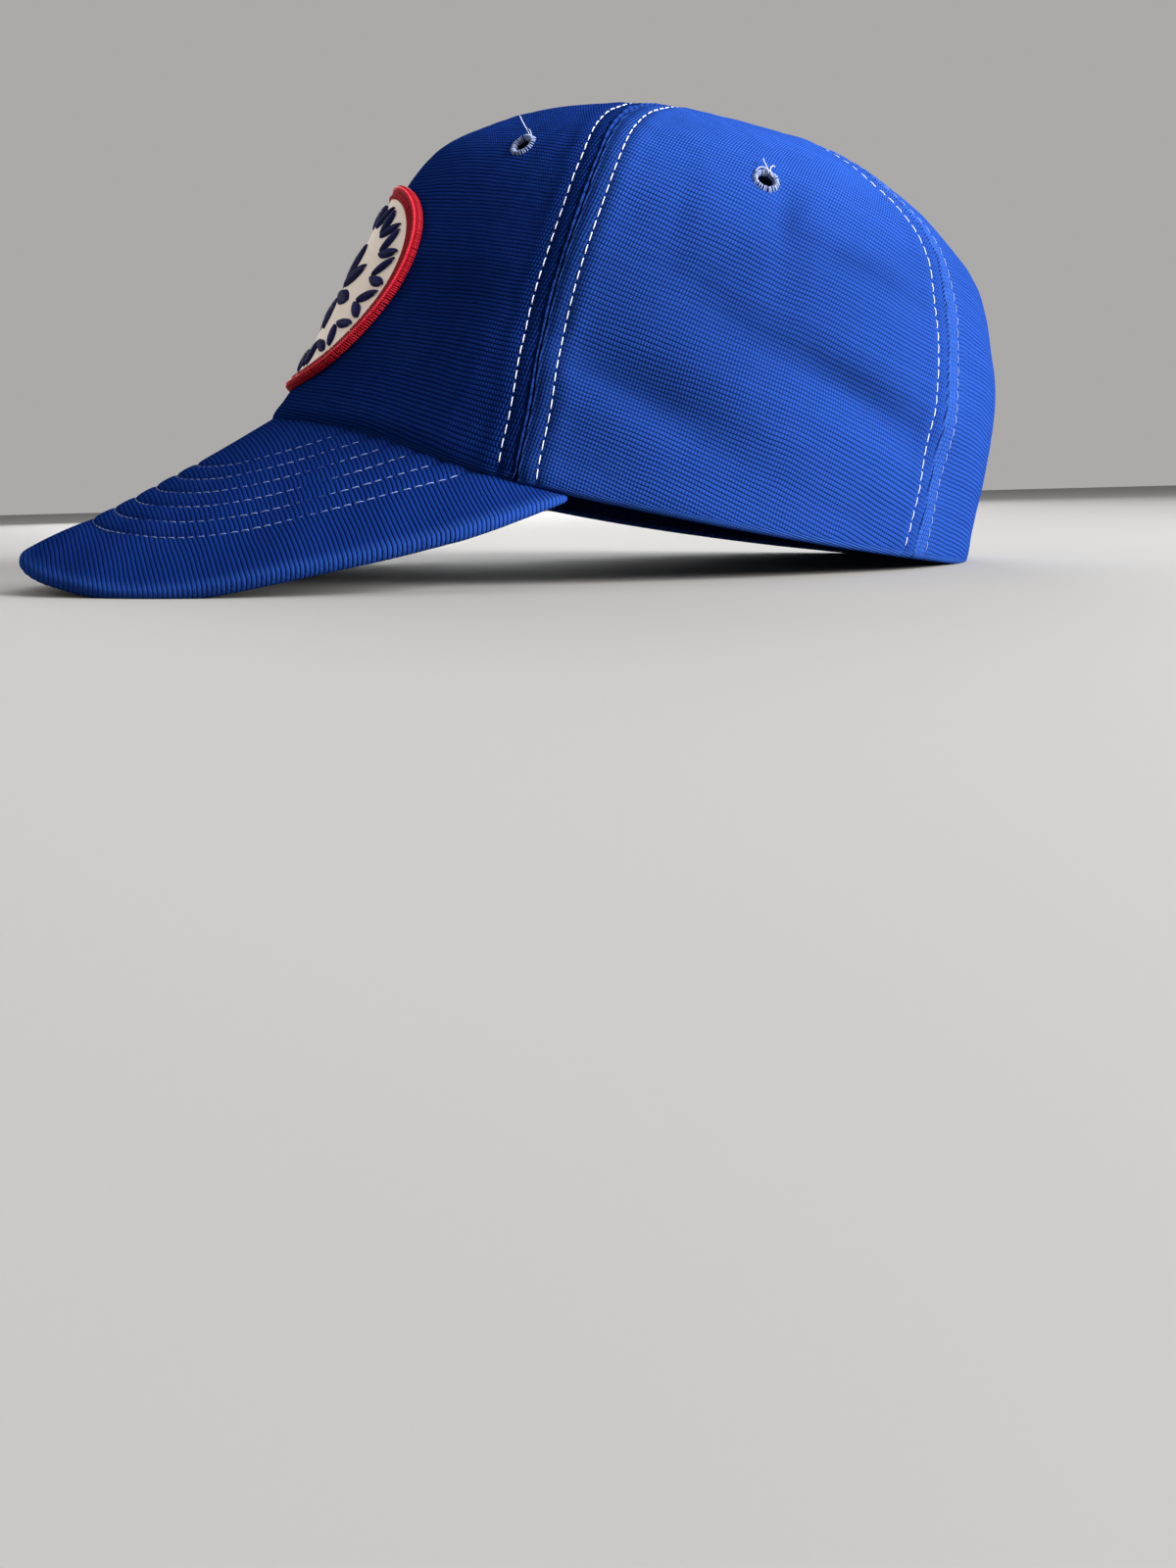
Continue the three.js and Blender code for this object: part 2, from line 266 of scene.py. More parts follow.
def slanting_spot(around, up, spot_around, spot_up, turned, length, width):
    """1 in the middle of a long slanting spot on the crown, fading to 0 round it."""
    middle = np.array(math.radians(spot_around)), np.array(spot_up)
    along, rise = crown_directions(*middle)
    offset = crown(np.abs(around), up) - crown(*middle)
    sideways, upward = offset @ unit(along), offset @ unit(rise)
    cos, sin = math.cos(math.radians(turned)), math.sin(math.radians(turned))
    lengthwise = sideways * cos + upward * sin
    crosswise = upward * cos - sideways * sin
    return np.exp(-((lengthwise / length) ** 2) - (crosswise / width) ** 2)


def dent_depth(around, up):
    return sum(deep * slanting_spot(around, up, *spot) for *spot, deep in DENTS)


def fold_shade(around, up):
    return sum(share * slanting_spot(around, up, *spot) for *spot, share in SHADED_FOLDS)


def unevenness(u, v, wavelength):
    """Between about -1 and 1, from a few crossed waves of about this length."""
    total = 0
    for heading, start, rate in zip(WAVE_TURNS, WAVE_STARTS, WAVE_RATES):
        run = (u * math.cos(heading) + v * math.sin(heading)) * rate / wavelength
        total = total + np.sin(2 * np.pi * run + start)
    return total / math.sqrt(WAVES)


deepest = dent_depth(np.radians(DENTS[0][0]), np.array(DENTS[0][1]))
print("deepest dent:", round(float(deepest), 2), "mm")

# %% [markdown]
# ## How the cloth becomes a mesh
#
# Every cloth piece here is a grid of points, so one helper turns points and faces into an object.
# Each point also keeps a few numbers for the materials: where it lies on the flat cloth in
# millimetres (cloth), how much that place is paled by rubbing and a painted sheen (rubbed)
# or darkened with painted shade (painted_shade), and whether it is inside (lining). Materials read
# these as attributes, so the knit follows the panel as it was cut, and no UV map is needed.

# %% Mesh helpers
SHARP_FROM = 75


def grid_faces(rows, columns, close_rows=False, close_columns=False):
    row = np.arange(rows if close_rows else rows - 1)[:, None]
    column = np.arange(columns if close_columns else columns - 1)[None, :]
    next_row, next_column = (row + 1) % rows, (column + 1) % columns
    corners = (
        row * columns + column,
        row * columns + next_column,
        next_row * columns + next_column,
        next_row * columns + column,
    )
    return np.stack(np.broadcast_arrays(*corners), axis=-1).reshape(-1, 4)


def wall_faces(rows, columns):
    """A grid closed round its rows into a wall, with its two ends filled."""
    pairs = np.arange(rows // 2 - 1)
    end = np.stack((pairs, pairs + 1, rows - 2 - pairs, rows - 1 - pairs), axis=-1) * columns
    return np.concatenate([grid_faces(rows, columns, close_rows=True), end, end + columns - 1])


def make_piece(name, points, faces, **fields):
    """An object from points in millimetres, with each extra field kept as a point attribute."""
    mesh = bpy.data.meshes.new(name)
    mesh.from_pydata((np.asarray(points) * MM).tolist(), [], [list(map(int, face)) for face in faces])
    for field, values in fields.items():
        values = np.asarray(values, np.float32)
        kind, key = ("FLOAT_VECTOR", "vector") if values.ndim == 2 else ("FLOAT", "value")
        mesh.attributes.new(field, kind, "POINT").data.foreach_set(key, values.ravel())
    work = bmesh.new()
    work.from_mesh(mesh)
    bmesh.ops.recalc_face_normals(work, faces=work.faces)
    work.to_mesh(mesh)
    work.free()
    mesh.shade_smooth()
    mesh.set_sharp_from_angle(angle=math.radians(SHARP_FROM))
    piece = bpy.data.objects.new(name, mesh)
    bpy.context.collection.objects.link(piece)
    return piece


def bell(value, middle, spread):
    return np.exp(-(((value - middle) / spread) ** 2))


print("helpers ready")

# %% [markdown]
# ## Seams
#
# Where two panels meet, their edges turn in and a row of top stitching holds them down on each side,
# about 5 mm away. The panel in front folds over a little, so its edge stands proud and catches the
# light, with a thin dark groove behind it. The stitches pull a furrow into the foam and the cloth
# swells again beyond. That profile is a sum of bell curves over the distance from the seam.

# %% Seam profile
SEAM_GAP = 0.3
STITCH_AWAY = 4.9
STITCH_PITCH = 3.4
RIDGE = {"proud": 0.6, "plain": 0.12, "even": 0.35}
RIDGE_AT, RIDGE_WIDE = 0.42, 0.32
WOBBLE, WOBBLE_LONG, WOBBLE_SHORT = 0.3, 1.9, 0.83
PUCKER, PUCKER_WIDE = 0.06, 1.5
GROOVE_DEEP, GROOVE_WIDE = 0.9, 0.2
# height, distance from the seam and spread of each swelling or furrow
SWELLS = ((0.34, 2.6, 1.3), (-0.18, STITCH_AWAY, 0.55), (0.34, 7.6, 2.1))
# distances of the grid's columns from a seam
SEAM_COLUMNS = np.array([
    0, 0.12, 0.25, 0.4, 0.6, 0.85, 1.15, 1.5, 1.95, 2.5, 3.1, 3.6, 4.0, 4.35, 4.65, 4.9, 5.2, 5.6,
    6.1, 6.8, 7.8, 9.1, 10.6,
])


def seam_angle(seam, up):
    bow = SEAM_BOW * np.sin(np.pi * up) if abs(seam) == FRONT_SEAM else 0 * up
    return np.radians(seam - np.sign(seam) * bow)


def seam_relief(away_from, height, kind):
    """How far the cloth stands out at a distance from a seam, with its pucker at each stitch."""
    wobble = WOBBLE * np.sin(height / WOBBLE_LONG) * np.sin(height / WOBBLE_SHORT + 1)
    relief = RIDGE[kind] * (1 + wobble) * bell(away_from, RIDGE_AT, RIDGE_WIDE)
    for high, middle, spread in SWELLS:
        relief = relief + high * bell(away_from, middle, spread)
    pull = PUCKER * np.cos(2 * np.pi * height / STITCH_PITCH)
    return relief + pull * bell(away_from, STITCH_AWAY, PUCKER_WIDE)


def groove(away_from):
    return -GROOVE_DEEP * bell(away_from, 0, GROOVE_WIDE)


furrow = seam_relief(np.array(STITCH_AWAY), np.array(STITCH_PITCH / 4), "plain")
print("cloth at the stitches stands out by", furrow.round(2), "mm")

# %% [markdown]
# ## Panels
#
# A five-panel crown has one broad front, two sides and two backs. Each is a closed wall: an outer
# face with the seam profile and dents, a fold round the hem, and a plain inner face. The columns of
# the grid crowd together near the seams, where the cloth bends most, and keep their distance in
# millimetres all the way up, so that the ridges and furrows stay even while the panel narrows. The
# hem of the front rolls under, where it meets the visor. Only the front and the left-hand panels are
# built here, and the right-hand ones are their mirror images.

# %% Panel grid
# name, first seam, last seam, how each edge is folded, columns between the seam columns
PANELS = (
    ("front_panel", -FRONT_SEAM, FRONT_SEAM, "proud", "proud", 84),
    ("side_panel_left", FRONT_SEAM, BACK_SEAM, "plain", "proud", 34),
    ("back_panel_left", BACK_SEAM, 180, "plain", "even", 16),
)
SWEEP = 160


def heights_up(first, last):
    """Distance over the cloth from the rim, up the middle of a panel, at even shares."""
    shares = np.linspace(0, 1, 500)
    middle = (seam_angle(first, shares) + seam_angle(last, shares)) / 2
    return shares, run_of(crown(middle, shares))


def column_places(width, between):
    """Distances from the first seam for one row of the grid."""
    reach = min(SEAM_COLUMNS[-1], 0.45 * width)
    near = SEAM_COLUMNS * reach / SEAM_COLUMNS[-1]
    middle = np.linspace(reach, width - reach, between + 2)[1:-1]
    return np.concatenate([near, middle, width - near[::-1]])


def hoop_row(first, last, up, between):
    """Angles of one row's columns, with their distances from both seams."""
    sweep = np.linspace(seam_angle(first, up), seam_angle(last, up), SWEEP)
    run = run_of(crown(sweep, np.full(SWEEP, up)))
    places = column_places(run[-1] - SEAM_GAP, between) + SEAM_GAP / 2
    return np.interp(places, run, sweep), places, run[-1] - places


print("seam columns on each edge:", len(SEAM_COLUMNS))

# %% Panel relief
ROLL_UNDER, ROLL_UP = 3.6, 7.5
HEM_PUFF, HEM_PUFF_AT, HEM_PUFF_WIDE = 0.35, 3, 4
FOAM_SWELL, SWELL_LONG = 0.22, 34
FOAM_RIPPLE, RIPPLE_LONG = 0.06, 9
# widths between which a panel gains room for its seam profile
ROOM = (8, 30)


def outer_relief(around, up, height, from_first, from_last, folds):
    """How far the outer face stands off the smooth crown."""
    room = ramp(from_first + from_last, *ROOM)
    sewn = seam_relief(from_first, height, folds[0]) + seam_relief(from_last, height, folds[1])
    hem = HEM_PUFF * bell(height, HEM_PUFF_AT, HEM_PUFF_WIDE)
    swell = FOAM_SWELL * unevenness(from_first, height, SWELL_LONG)
    foam = swell + FOAM_RIPPLE * unevenness(height, from_last, RIPPLE_LONG)
    bottoms = groove(from_first) + groove(from_last)
    return room * (sewn + foam) + hem + bottoms - dent_depth(around, up)


def off_crown(around, up, height, relief):
    """Points that stand off the crown, with the hem of the front rolled under."""
    near_hem = np.clip(1 - height / ROLL_UP, 0, 1) ** 2
    rolled = ROLL_UNDER * near_hem * np.clip(np.cos(around), 0, None) ** 2
    along, _ = crown_directions(around, up)
    level = unit(np.cross(along, (0, 0, 1)))
    return crown(around, up) + crown_normal(around, up) * relief[..., None] - level * rolled[..., None]


print("hem of the front rolled under by", ROLL_UNDER, "mm")

# %% Numbers for the knit
# how far the rows of the knit slant, as a rise over a run
GRAIN = {"front": -0.1, "side": 0.27, "back": -0.12}
SEAM_RIBS, SEAM_RIBS_WIDE, PLAIN_RIBS = 0.6, 6, 0.12
RIBS_VARY, RIBS_LONG = 0.1, 60
# lighter at a seam's folded edge: partly rubbing, partly a painted highlight on the ridge; on the backs a
# painted sheen
WORN_SHEEN_AT, WORN_SHEEN_WIDE, HEM_WORN = 0.4, 0.3, 0.5
BACK_SHEEN, BACK_SHEEN_AT, BACK_SHEEN_WIDE = 0.5, 2, 3.5
# width in mm of the painted shade beside the front seams
SEAM_SHADE_WIDE = 7
FAR_OFF = 99


def panel_fields(kind, around, up, height, from_first, from_last, below):
    """Each field on the outer face, on the fold below the hem and on the inner face."""
    edge = np.minimum(from_first, from_last)
    across = {"front": edge, "side": from_first, "back": from_last}[kind]
    front_edge = {"front": edge, "side": from_first, "back": FAR_OFF + 0 * edge}[kind]
    ribbed = SEAM_RIBS * bell(edge, 0, SEAM_RIBS_WIDE) + PLAIN_RIBS
    ribbed = np.clip(ribbed + RIBS_VARY * unevenness(across, height, RIBS_LONG), 0, 1)
    grain = GRAIN[kind]
    cloth = np.stack([across - grain * height, height + grain * across, ribbed], axis=-1)
    fold_cloth = np.stack([across[:1] - grain * below, below + grain * across[:1], 0 * below], axis=-1)
    paler_edge = bell(edge, WORN_SHEEN_AT, WORN_SHEEN_WIDE)
    # painted sheen: lighter streaks along the back seams
    if kind == "back":
        paler_edge = np.maximum(paler_edge, BACK_SHEEN * bell(edge, BACK_SHEEN_AT, BACK_SHEEN_WIDE))
    # painted shade: darker in the folds and beside the front seams, where the cloth lies in shade
    painted_shade = np.maximum(fold_shade(around, up), bell(front_edge, 0, SEAM_SHADE_WIDE))
    face, fold = 0 * paler_edge, 0 * below
    return {
        "cloth": np.concatenate([cloth[::-1], fold_cloth, cloth]).reshape(-1, 3),
        "rubbed": np.concatenate([paler_edge[::-1], HEM_WORN + fold, face]).ravel(),
        "lining": np.concatenate([face, fold, 1 + face]).ravel(),
        "painted_shade": np.concatenate([painted_shade[::-1], fold, face]).ravel(),
    }


print("slant of the knit's rows:", GRAIN)

# %% Build the panels
WALL, LEAST_WALL, DENT_INSIDE = 2.0, 0.8, 0.4
TIP_UP, ROW_STEP = 0.998, 1.15
HEM_RADIUS, HEM_TURNS, HEM_EXTRA, HEM_EXTRA_WIDE = 1.9, 8, 1.0, 7


def hem_fold(around, relief, inside, heights, shares):
    """The half turn of cloth below the hem, and how far down the flat cloth its points lie."""
    turns = np.linspace(0, np.pi, HEM_TURNS + 2)[1:-1, None]
    height = HEM_RADIUS * (1 - np.sin(turns)) + 0 * around
    up = np.interp(height, heights, shares)
    out = (relief + inside) / 2 + (relief - inside) / 2 * np.cos(turns)
    return off_crown(around + 0 * up, up, height, out), height - HEM_RADIUS * turns


def build_panel(name, first, last, fold_first, fold_last, between):
    shares, heights = heights_up(first, last)
    top = np.interp(TIP_UP, shares, heights)
    levels = np.linspace(HEM_RADIUS, top, int((top - HEM_RADIUS) / ROW_STEP))
    ups = np.interp(levels, heights, shares)
    rows = [hoop_row(first, last, up, between) for up in ups]
    around, from_first, from_last = (np.array(field) for field in zip(*rows))
    up, height, _ = np.broadcast_arrays(ups[:, None], levels[:, None], around)
    relief = outer_relief(around, up, height, from_first, from_last, (fold_first, fold_last))
    inside = -(WALL + HEM_EXTRA * bell(height, 0, HEM_EXTRA_WIDE) + DENT_INSIDE * dent_depth(around, up))
    inside = np.minimum(inside, relief - LEAST_WALL)
    outer = off_crown(around, up, height, relief)
    inner = off_crown(around, up, height, inside)
    fold, below = hem_fold(around[:1], relief[:1], inside[:1], heights, shares)
    points = np.concatenate([outer[::-1], fold, inner])
    points[..., 2] = np.maximum(points[..., 2], 0)
    fields = panel_fields(name.split("_")[0], around, up, height, from_first, from_last, below)
    return make_piece(name + "_knit", points.reshape(-1, 3), wall_faces(*points.shape[:2]), **fields)


panels = {}
for row in PANELS:
    panels[row[0]] = build_panel(*row)
    print(row[0], len(panels[row[0]].data.polygons), "faces")

# %% [markdown]
# ## Eyelet holes
#
# The sewn eyelets are real holes, so each panel is cut with a short drill, a modifier that is applied
# at once so that nothing is left to compute later. The drilled left-hand panels are then mirrored.

# %% Cut the eyelet holes
# panel, angle around and share up
EYELETS = {
    "eyelet_front_left": ("front_panel", 35, 0.532),
    "eyelet_front_right": ("front_panel", -35, 0.532),
    "eyelet_side_left": ("side_panel_left", 89.5, 0.533),
    "eyelet_side_right": ("side_panel_right", -89.5, 0.533),
}
EYELET_OUTER, EYELET_BORE = 3.8, 2.4
DRILL_RADIUS, DRILL_LENGTH, DRILL_SIDES = 2.75, 12, 48


def eyelet_axes(around_degrees, up):
    """Middle on the outer face, then the directions round the crown, up it and outward."""
    around, up = np.array(math.radians(around_degrees)), np.array(up)
    along, _ = crown_directions(around, up)
    outward = crown_normal(around, up)
    middle = crown(around, up) - outward * dent_depth(around, up)
    along = unit(along)
    return middle, along, np.cross(outward, along), outward


def cut_hole(piece, middle, outward):
    work = bmesh.new()
    bmesh.ops.create_cone(
        work, cap_ends=True, segments=DRILL_SIDES, radius1=DRILL_RADIUS * MM, radius2=DRILL_RADIUS * MM,
        depth=DRILL_LENGTH * MM,
    )
    drill_mesh = bpy.data.meshes.new("drill")
    work.to_mesh(drill_mesh)
    work.free()
    drill = bpy.data.objects.new("drill", drill_mesh)
    facing = Vector(outward).to_track_quat("Z", "Y")
    drill.matrix_world = Matrix.Translation(Vector(middle) * MM) @ facing.to_matrix().to_4x4()
    bpy.context.collection.objects.link(drill)
    cut = piece.modifiers.new("eyelet", "BOOLEAN")
    cut.operation = "DIFFERENCE"
    cut.solver = "EXACT"
    cut.object = drill
    bpy.context.view_layer.update()
    cut_piece = piece.evaluated_get(bpy.context.evaluated_depsgraph_get())
    drilled = bpy.data.meshes.new_from_object(cut_piece)
    piece.modifiers.clear()
    piece.data = drilled
    bpy.data.objects.remove(drill)


def mirror_piece(piece, name):
    """A copy on the other side of the cap."""
    mesh = piece.data.copy()
    mesh.transform(Matrix.Scale(-1, 4, (1, 0, 0)))
    mesh.flip_normals()
    copy = bpy.data.objects.new(name, mesh)
    bpy.context.collection.objects.link(copy)
    return copy


for name, (panel, around_degrees, up) in EYELETS.items():
    if panel in panels:
        middle, _, _, outward = eyelet_axes(around_degrees, up)
        cut_hole(panels[panel], middle, outward)
        print(name, "cut in", panel, "leaves", len(panels[panel].data.polygons), "faces")
for kind in ("side", "back"):
    panels[kind + "_panel_right"] = mirror_piece(panels[kind + "_panel_left"], kind + "_panel_right_knit")
print("panels:", list(panels))

# %% [markdown]
# ## Visor
#
# The visor is a stiff board padded with foam and covered with the same knit, its ribs running from
# side to side. Six rows of stitches follow its outer edge and quilt the foam, so the face rises
# between the rows and dips sharply at each one. The height is worked out from the distance to the
# edge. The cover rolls round the edge and runs back underneath.

# %% Visor form
VISOR_SPAN, VISOR_HALF, VISOR_SQUARE = 71.5, 87, 2.2
VISOR_TIP_Y, VISOR_CORNER_Y = -141.1, 4
VISOR_THICK, VISOR_SAG, ROOT_INSET, ROOT_DROP = 3.2, 1.0, 1.0, 0.5
CORNER_FROM, CORNER_PULL, CORNER_THIN = 0.86, 0.92, 0.55
VISOR_EDGE = (7.4, 2.5, -1.3, 6.3, 17.7)


def near_corner(across):
    """0 over most of the visor, rising to 1 at its corners."""
    return np.clip((np.abs(across) - CORNER_FROM) / (1 - CORNER_FROM), 0, None) ** 2


def visor_root(across):
    around, rim = math.radians(VISOR_SPAN) * across, np.zeros_like(across)
    along, _ = crown_directions(around, rim)
    outward = unit(np.cross(along, (0, 0, 1)))
    dents = crown_normal(around, rim) * dent_depth(around, rim)[..., None]
    return crown(around, rim) - dents - ROOT_INSET * outward - np.array((0, 0, ROOT_DROP))


def visor_edge(across):
    side = np.abs(across)
    sweep, square = side * np.pi / 2, 2 / VISOR_SQUARE
    x = np.sign(across) * VISOR_HALF * np.sin(sweep) ** square
    y = VISOR_CORNER_Y + (VISOR_TIP_Y - VISOR_CORNER_Y) * np.clip(np.cos(sweep), 0, None) ** square
    z = spline(VISOR_EDGE, side) + VISOR_THICK
    edge = np.stack([x, y, z], axis=-1)
    return edge + (visor_root(across) - edge) * (CORNER_PULL * near_corner(across))[..., None]


def visor_top(across, forward):
    across, forward = np.broadcast_arrays(across, forward)
    root, edge = visor_root(across), visor_edge(across)
    face = root + (edge - root) * forward[..., None]
    face[..., 2] -= VISOR_SAG * 4 * forward * (1 - forward) * (1 - across ** 2)
    return face


def visor_normal(across, forward):
    right, left = np.minimum(across + STEP, 1), np.maximum(across - STEP, -1)
    far, near = np.minimum(forward + STEP, 1), forward - STEP
    sideways = visor_top(right, forward) - visor_top(left, forward)
    outward = visor_top(across, far) - visor_top(across, near)
    return unit(np.cross(outward, sideways))


EDGE_POINTS, POINTS_AT_ONCE = 1201, 400
EDGE_LINE = visor_edge(np.linspace(-1, 1, EDGE_POINTS))


def from_edge(points):
    """Distance of each point from the visor's outer edge."""
    flat = points.reshape(-1, 3)
    nearest = [np.linalg.norm(part[:, None] - EDGE_LINE[None], axis=-1).min(axis=1)
               for part in np.array_split(flat, max(1, len(flat) // POINTS_AT_ONCE))]
    return np.concatenate(nearest).reshape(points.shape[:-1])


print("visor tip at", visor_edge(np.array([0.0])).round(1).tolist())

# %% Quilted rows
ROW_COUNT, ROWS_FROM, ROW_APART = 6, 20.5, 6.4
BAND_PUFF, BAND_MIDDLE, BAND_HALF = 0.75, 8.5, 10.8
ROW_PUFF, ROW_ROUND, INNER_RISE = 0.32, 0.75, 1.6
STITCH_DIP, DIP_WIDE = 0.3, 0.45


def quilt(distance):
    """Height of the padded face by the distance from the edge."""
    last = ROWS_FROM + (ROW_COUNT - 1) * ROW_APART
    band = BAND_PUFF * np.clip(1 - ((distance - BAND_MIDDLE) / BAND_HALF) ** 2, 0, None)
    rows = ROW_PUFF * np.abs(np.sin(np.pi * (distance - ROWS_FROM) / ROW_APART)) ** ROW_ROUND
    inner = ROW_PUFF * (1 - np.exp(-np.clip(distance - last, 0, None) / INNER_RISE))
    face = np.where(distance < ROWS_FROM, band, np.where(distance < last, rows, inner))
    for row in range(ROW_COUNT):
        face = face - STITCH_DIP * bell(distance, ROWS_FROM + row * ROW_APART, DIP_WIDE)
    return face


print("rows at", [ROWS_FROM + row * ROW_APART for row in range(ROW_COUNT)], "mm from the edge")

# %% Build the visor
VISOR_COLUMNS, VISOR_ROWS, ROLL_TURNS = 301, 136, 10
EDGE_ROLL, GATHER, GATHER_PITCH = 1.9, 0.035, 2.36
ROOT_UNDER, MIN_DEEP = 1.2, 20
FACE_RUN, FACE_RUN_LONG, UNDER_PUFF = 0.10, 30, 0.3
FORESHORTEN, RIB_SLANT, EDGE_WORN = 1.13, 0.18, 2.2


def build_visor():
    across, forward = np.meshgrid(np.linspace(-1, 1, VISOR_COLUMNS), np.linspace(0, 1, VISOR_ROWS))
    deep = np.linalg.norm(visor_edge(across) - visor_root(across), axis=-1)
    tucked = ROOT_UNDER + ROLL_UNDER * np.cos(math.radians(VISOR_SPAN) * across) ** 2
    forward = forward - tucked / np.maximum(deep, MIN_DEEP) * (1 - forward)
    face, normal = visor_top(across, forward), visor_normal(across, forward)
    distance = from_edge(face)
    run = FACE_RUN * unevenness(face[..., 0], face[..., 1], FACE_RUN_LONG)
    thinned = 1 - CORNER_THIN * near_corner(across)
    top = face + normal * (thinned * (quilt(distance) + run))[..., None]
    under = face - normal * (thinned * (VISOR_THICK + UNDER_PUFF * quilt(distance)))[..., None]

    turns = np.linspace(0, np.pi, ROLL_TURNS + 2)[1:-1, None]
    outward = unit(visor_edge(across[-1]) - visor_root(across[-1]))
    core = (top[-1] + under[-1]) / 2
    half = np.linalg.norm(top[-1] - under[-1], axis=-1) / 2
    gather = 1 + GATHER * np.sin(2 * np.pi * face[-1, :, 1] * FORESHORTEN / GATHER_PITCH)
    roll = (
        core
        + normal[-1] * (half * np.cos(turns))[..., None]
        + outward * (EDGE_ROLL * thinned[-1] * gather * np.sin(turns))[..., None]
    )
    points = np.concatenate([top, roll, under[::-1]])
    points[..., 2] = np.maximum(points[..., 2], 0)
    ribs = (points[..., 1] - RIB_SLANT * points[..., 0]) * FORESHORTEN
    cloth = np.stack([points[..., 0], ribs, np.zeros_like(ribs)], axis=-1)
    paler_edge = bell(np.concatenate([distance, 0 * roll[..., 0], distance[::-1]]), 0, EDGE_WORN)
    return make_piece(
        "visor_knit", points.reshape(-1, 3), wall_faces(*points.shape[:2]),
        cloth=cloth.reshape(-1, 3), rubbed=paler_edge.ravel(),
    )


visor = build_visor()
print("visor", len(visor.data.polygons), "faces")

# %% [markdown]
# ## Thread
#
# Stitches, eyelet stitches, embroidery and the patch's border are all short lengths of thread. One
# helper sweeps a small circle along many paths at once and joins them in one mesh. Each strand keeps
# its own shade and the distance along it, for the twist of the thread.

# %% Strands
def strands(name, paths, normals, radius, sides=6, taper=0.55):
    """paths and normals hold one row of points per strand."""
    paths, normals = np.asarray(paths, float), np.asarray(normals, float)
    count, length = paths.shape[:2]
    tangent = unit(np.gradient(paths, axis=1))
    side = unit(np.cross(tangent, normals))
    lift = np.cross(side, tangent)
    turn = np.linspace(0, 2 * np.pi, sides, endpoint=False)
    ends = np.abs(np.linspace(-1, 1, length))
    thick = radius * (1 - (1 - taper) * ends ** 6)
    ring = lift[:, :, None] * np.cos(turn)[:, None] + side[:, :, None] * np.sin(turn)[:, None]
    points = paths[:, :, None] + ring * thick[:, None, None]
    tube = grid_faces(length, sides, close_columns=True)
    starts = np.arange(count) * length * sides
    faces = (tube[None] + starts[:, None, None]).reshape(-1, 4).tolist()
    for start in starts:
        faces.append(range(start, start + sides))
        faces.append(range(start + (length - 1) * sides, start + length * sides))
    shade = np.repeat(rng.uniform(0, 1, count), length * sides)
    run = np.cumsum(np.linalg.norm(np.diff(paths, axis=1, prepend=paths[:, :1]), axis=-1), axis=1)
    turned = np.broadcast_to(turn, (count, length, sides))
    strand = np.stack([np.repeat(run, sides, axis=1).ravel(), turned.ravel(), shade], axis=-1)
    return make_piece(name, points.reshape(-1, 3), faces, strand=strand)


def along_line(line, places):
    """Points at distances along a line of points."""
    run = run_of(line)
    return np.stack([np.interp(places, run, line[:, axis]) for axis in range(3)], axis=-1), run[-1]


STITCH_POINTS = np.linspace(0, 1, 8)
STITCH_STRAY, STITCH_VARIES = 0.1, (0.94, 1.04)


def stitches_on(line, normals, pitch, visible, lift, sink):
    """Paths of the stitches along a sewn line: each rises from a needle hole and dives into the next."""
    _, total = along_line(line, 0)
    count = int(total / pitch)
    first = (total - count * pitch) / 2 + rng.uniform(-STITCH_STRAY, STITCH_STRAY, count)
    long = visible * rng.uniform(*STITCH_VARIES, count)
    places = (first + np.arange(count) * pitch)[:, None] + STITCH_POINTS * long[:, None]
    paths, _ = along_line(line, places)
    share = places / total
    spread = np.linspace(0, 1, len(line))
    facing = unit(np.stack([np.interp(share, spread, normals[:, axis]) for axis in range(3)], axis=-1))
    arch = lift - (lift + sink) * np.abs(2 * STITCH_POINTS - 1) ** 4
    return paths + facing * arch[:, None], facing


print("strand helper ready")

# %% Top stitching on the crown
STITCH_LONG, THREAD_RADIUS, CROWN_LIFT, THREAD_SINK = 2.95, 0.15, 0.12, 0.3
SEW_FROM, SEW_STEP, SEW_MIN_WIDTH = 2.2, 0.7, 11.5
OTHER_SIDE = np.array((-1, 1, 1))


def crown_row(panel, at_first):
    """The sewn line beside one edge of a panel, on the finished outer face."""
    _, first, last, fold_first, fold_last, _ = panel
    shares, heights = heights_up(first, last)
    levels = np.arange(SEW_FROM, heights[-1], SEW_STEP)
    line, normals = [], []
    for level in levels:
        up = np.interp(level, heights, shares)
        sweep = np.linspace(seam_angle(first, up), seam_angle(last, up), SWEEP)
        run = run_of(crown(sweep, np.full(SWEEP, up)))
        if run[-1] < SEW_MIN_WIDTH:
            break
        place = STITCH_AWAY if at_first else run[-1] - STITCH_AWAY
        around, here = np.interp(place, run, sweep), np.array(up)
        out = outer_relief(around, here, level, place, run[-1] - place, (fold_first, fold_last))
        normals.append(crown_normal(around, here))
        line.append(off_crown(around, here, level, out))
    return np.array(line), np.array(normals)


def crown_stitches(name, kinds):
    """The rows along both edges of the panels of these kinds, as one piece."""
    rows = []
    for panel in PANELS:
        kind = panel[0].split("_")[0]
        if kind not in kinds:
            continue
        for at_first in (True, False):
            line, normals = crown_row(panel, at_first)
            path, facing = stitches_on(line, normals, STITCH_PITCH, STITCH_LONG, CROWN_LIFT, THREAD_SINK)
            rows.append((path, facing))
            if kind != "front":
                rows.append((path * OTHER_SIDE, facing * OTHER_SIDE))
    paths, facings = (np.concatenate(part) for part in zip(*rows))
    print(name, len(paths), "stitches")
    return strands(name, paths, facings, THREAD_RADIUS)


front_stitches = crown_stitches("crown_topstitch", ("front", "side"))
back_stitches = crown_stitches("back_topstitch", ("back",))

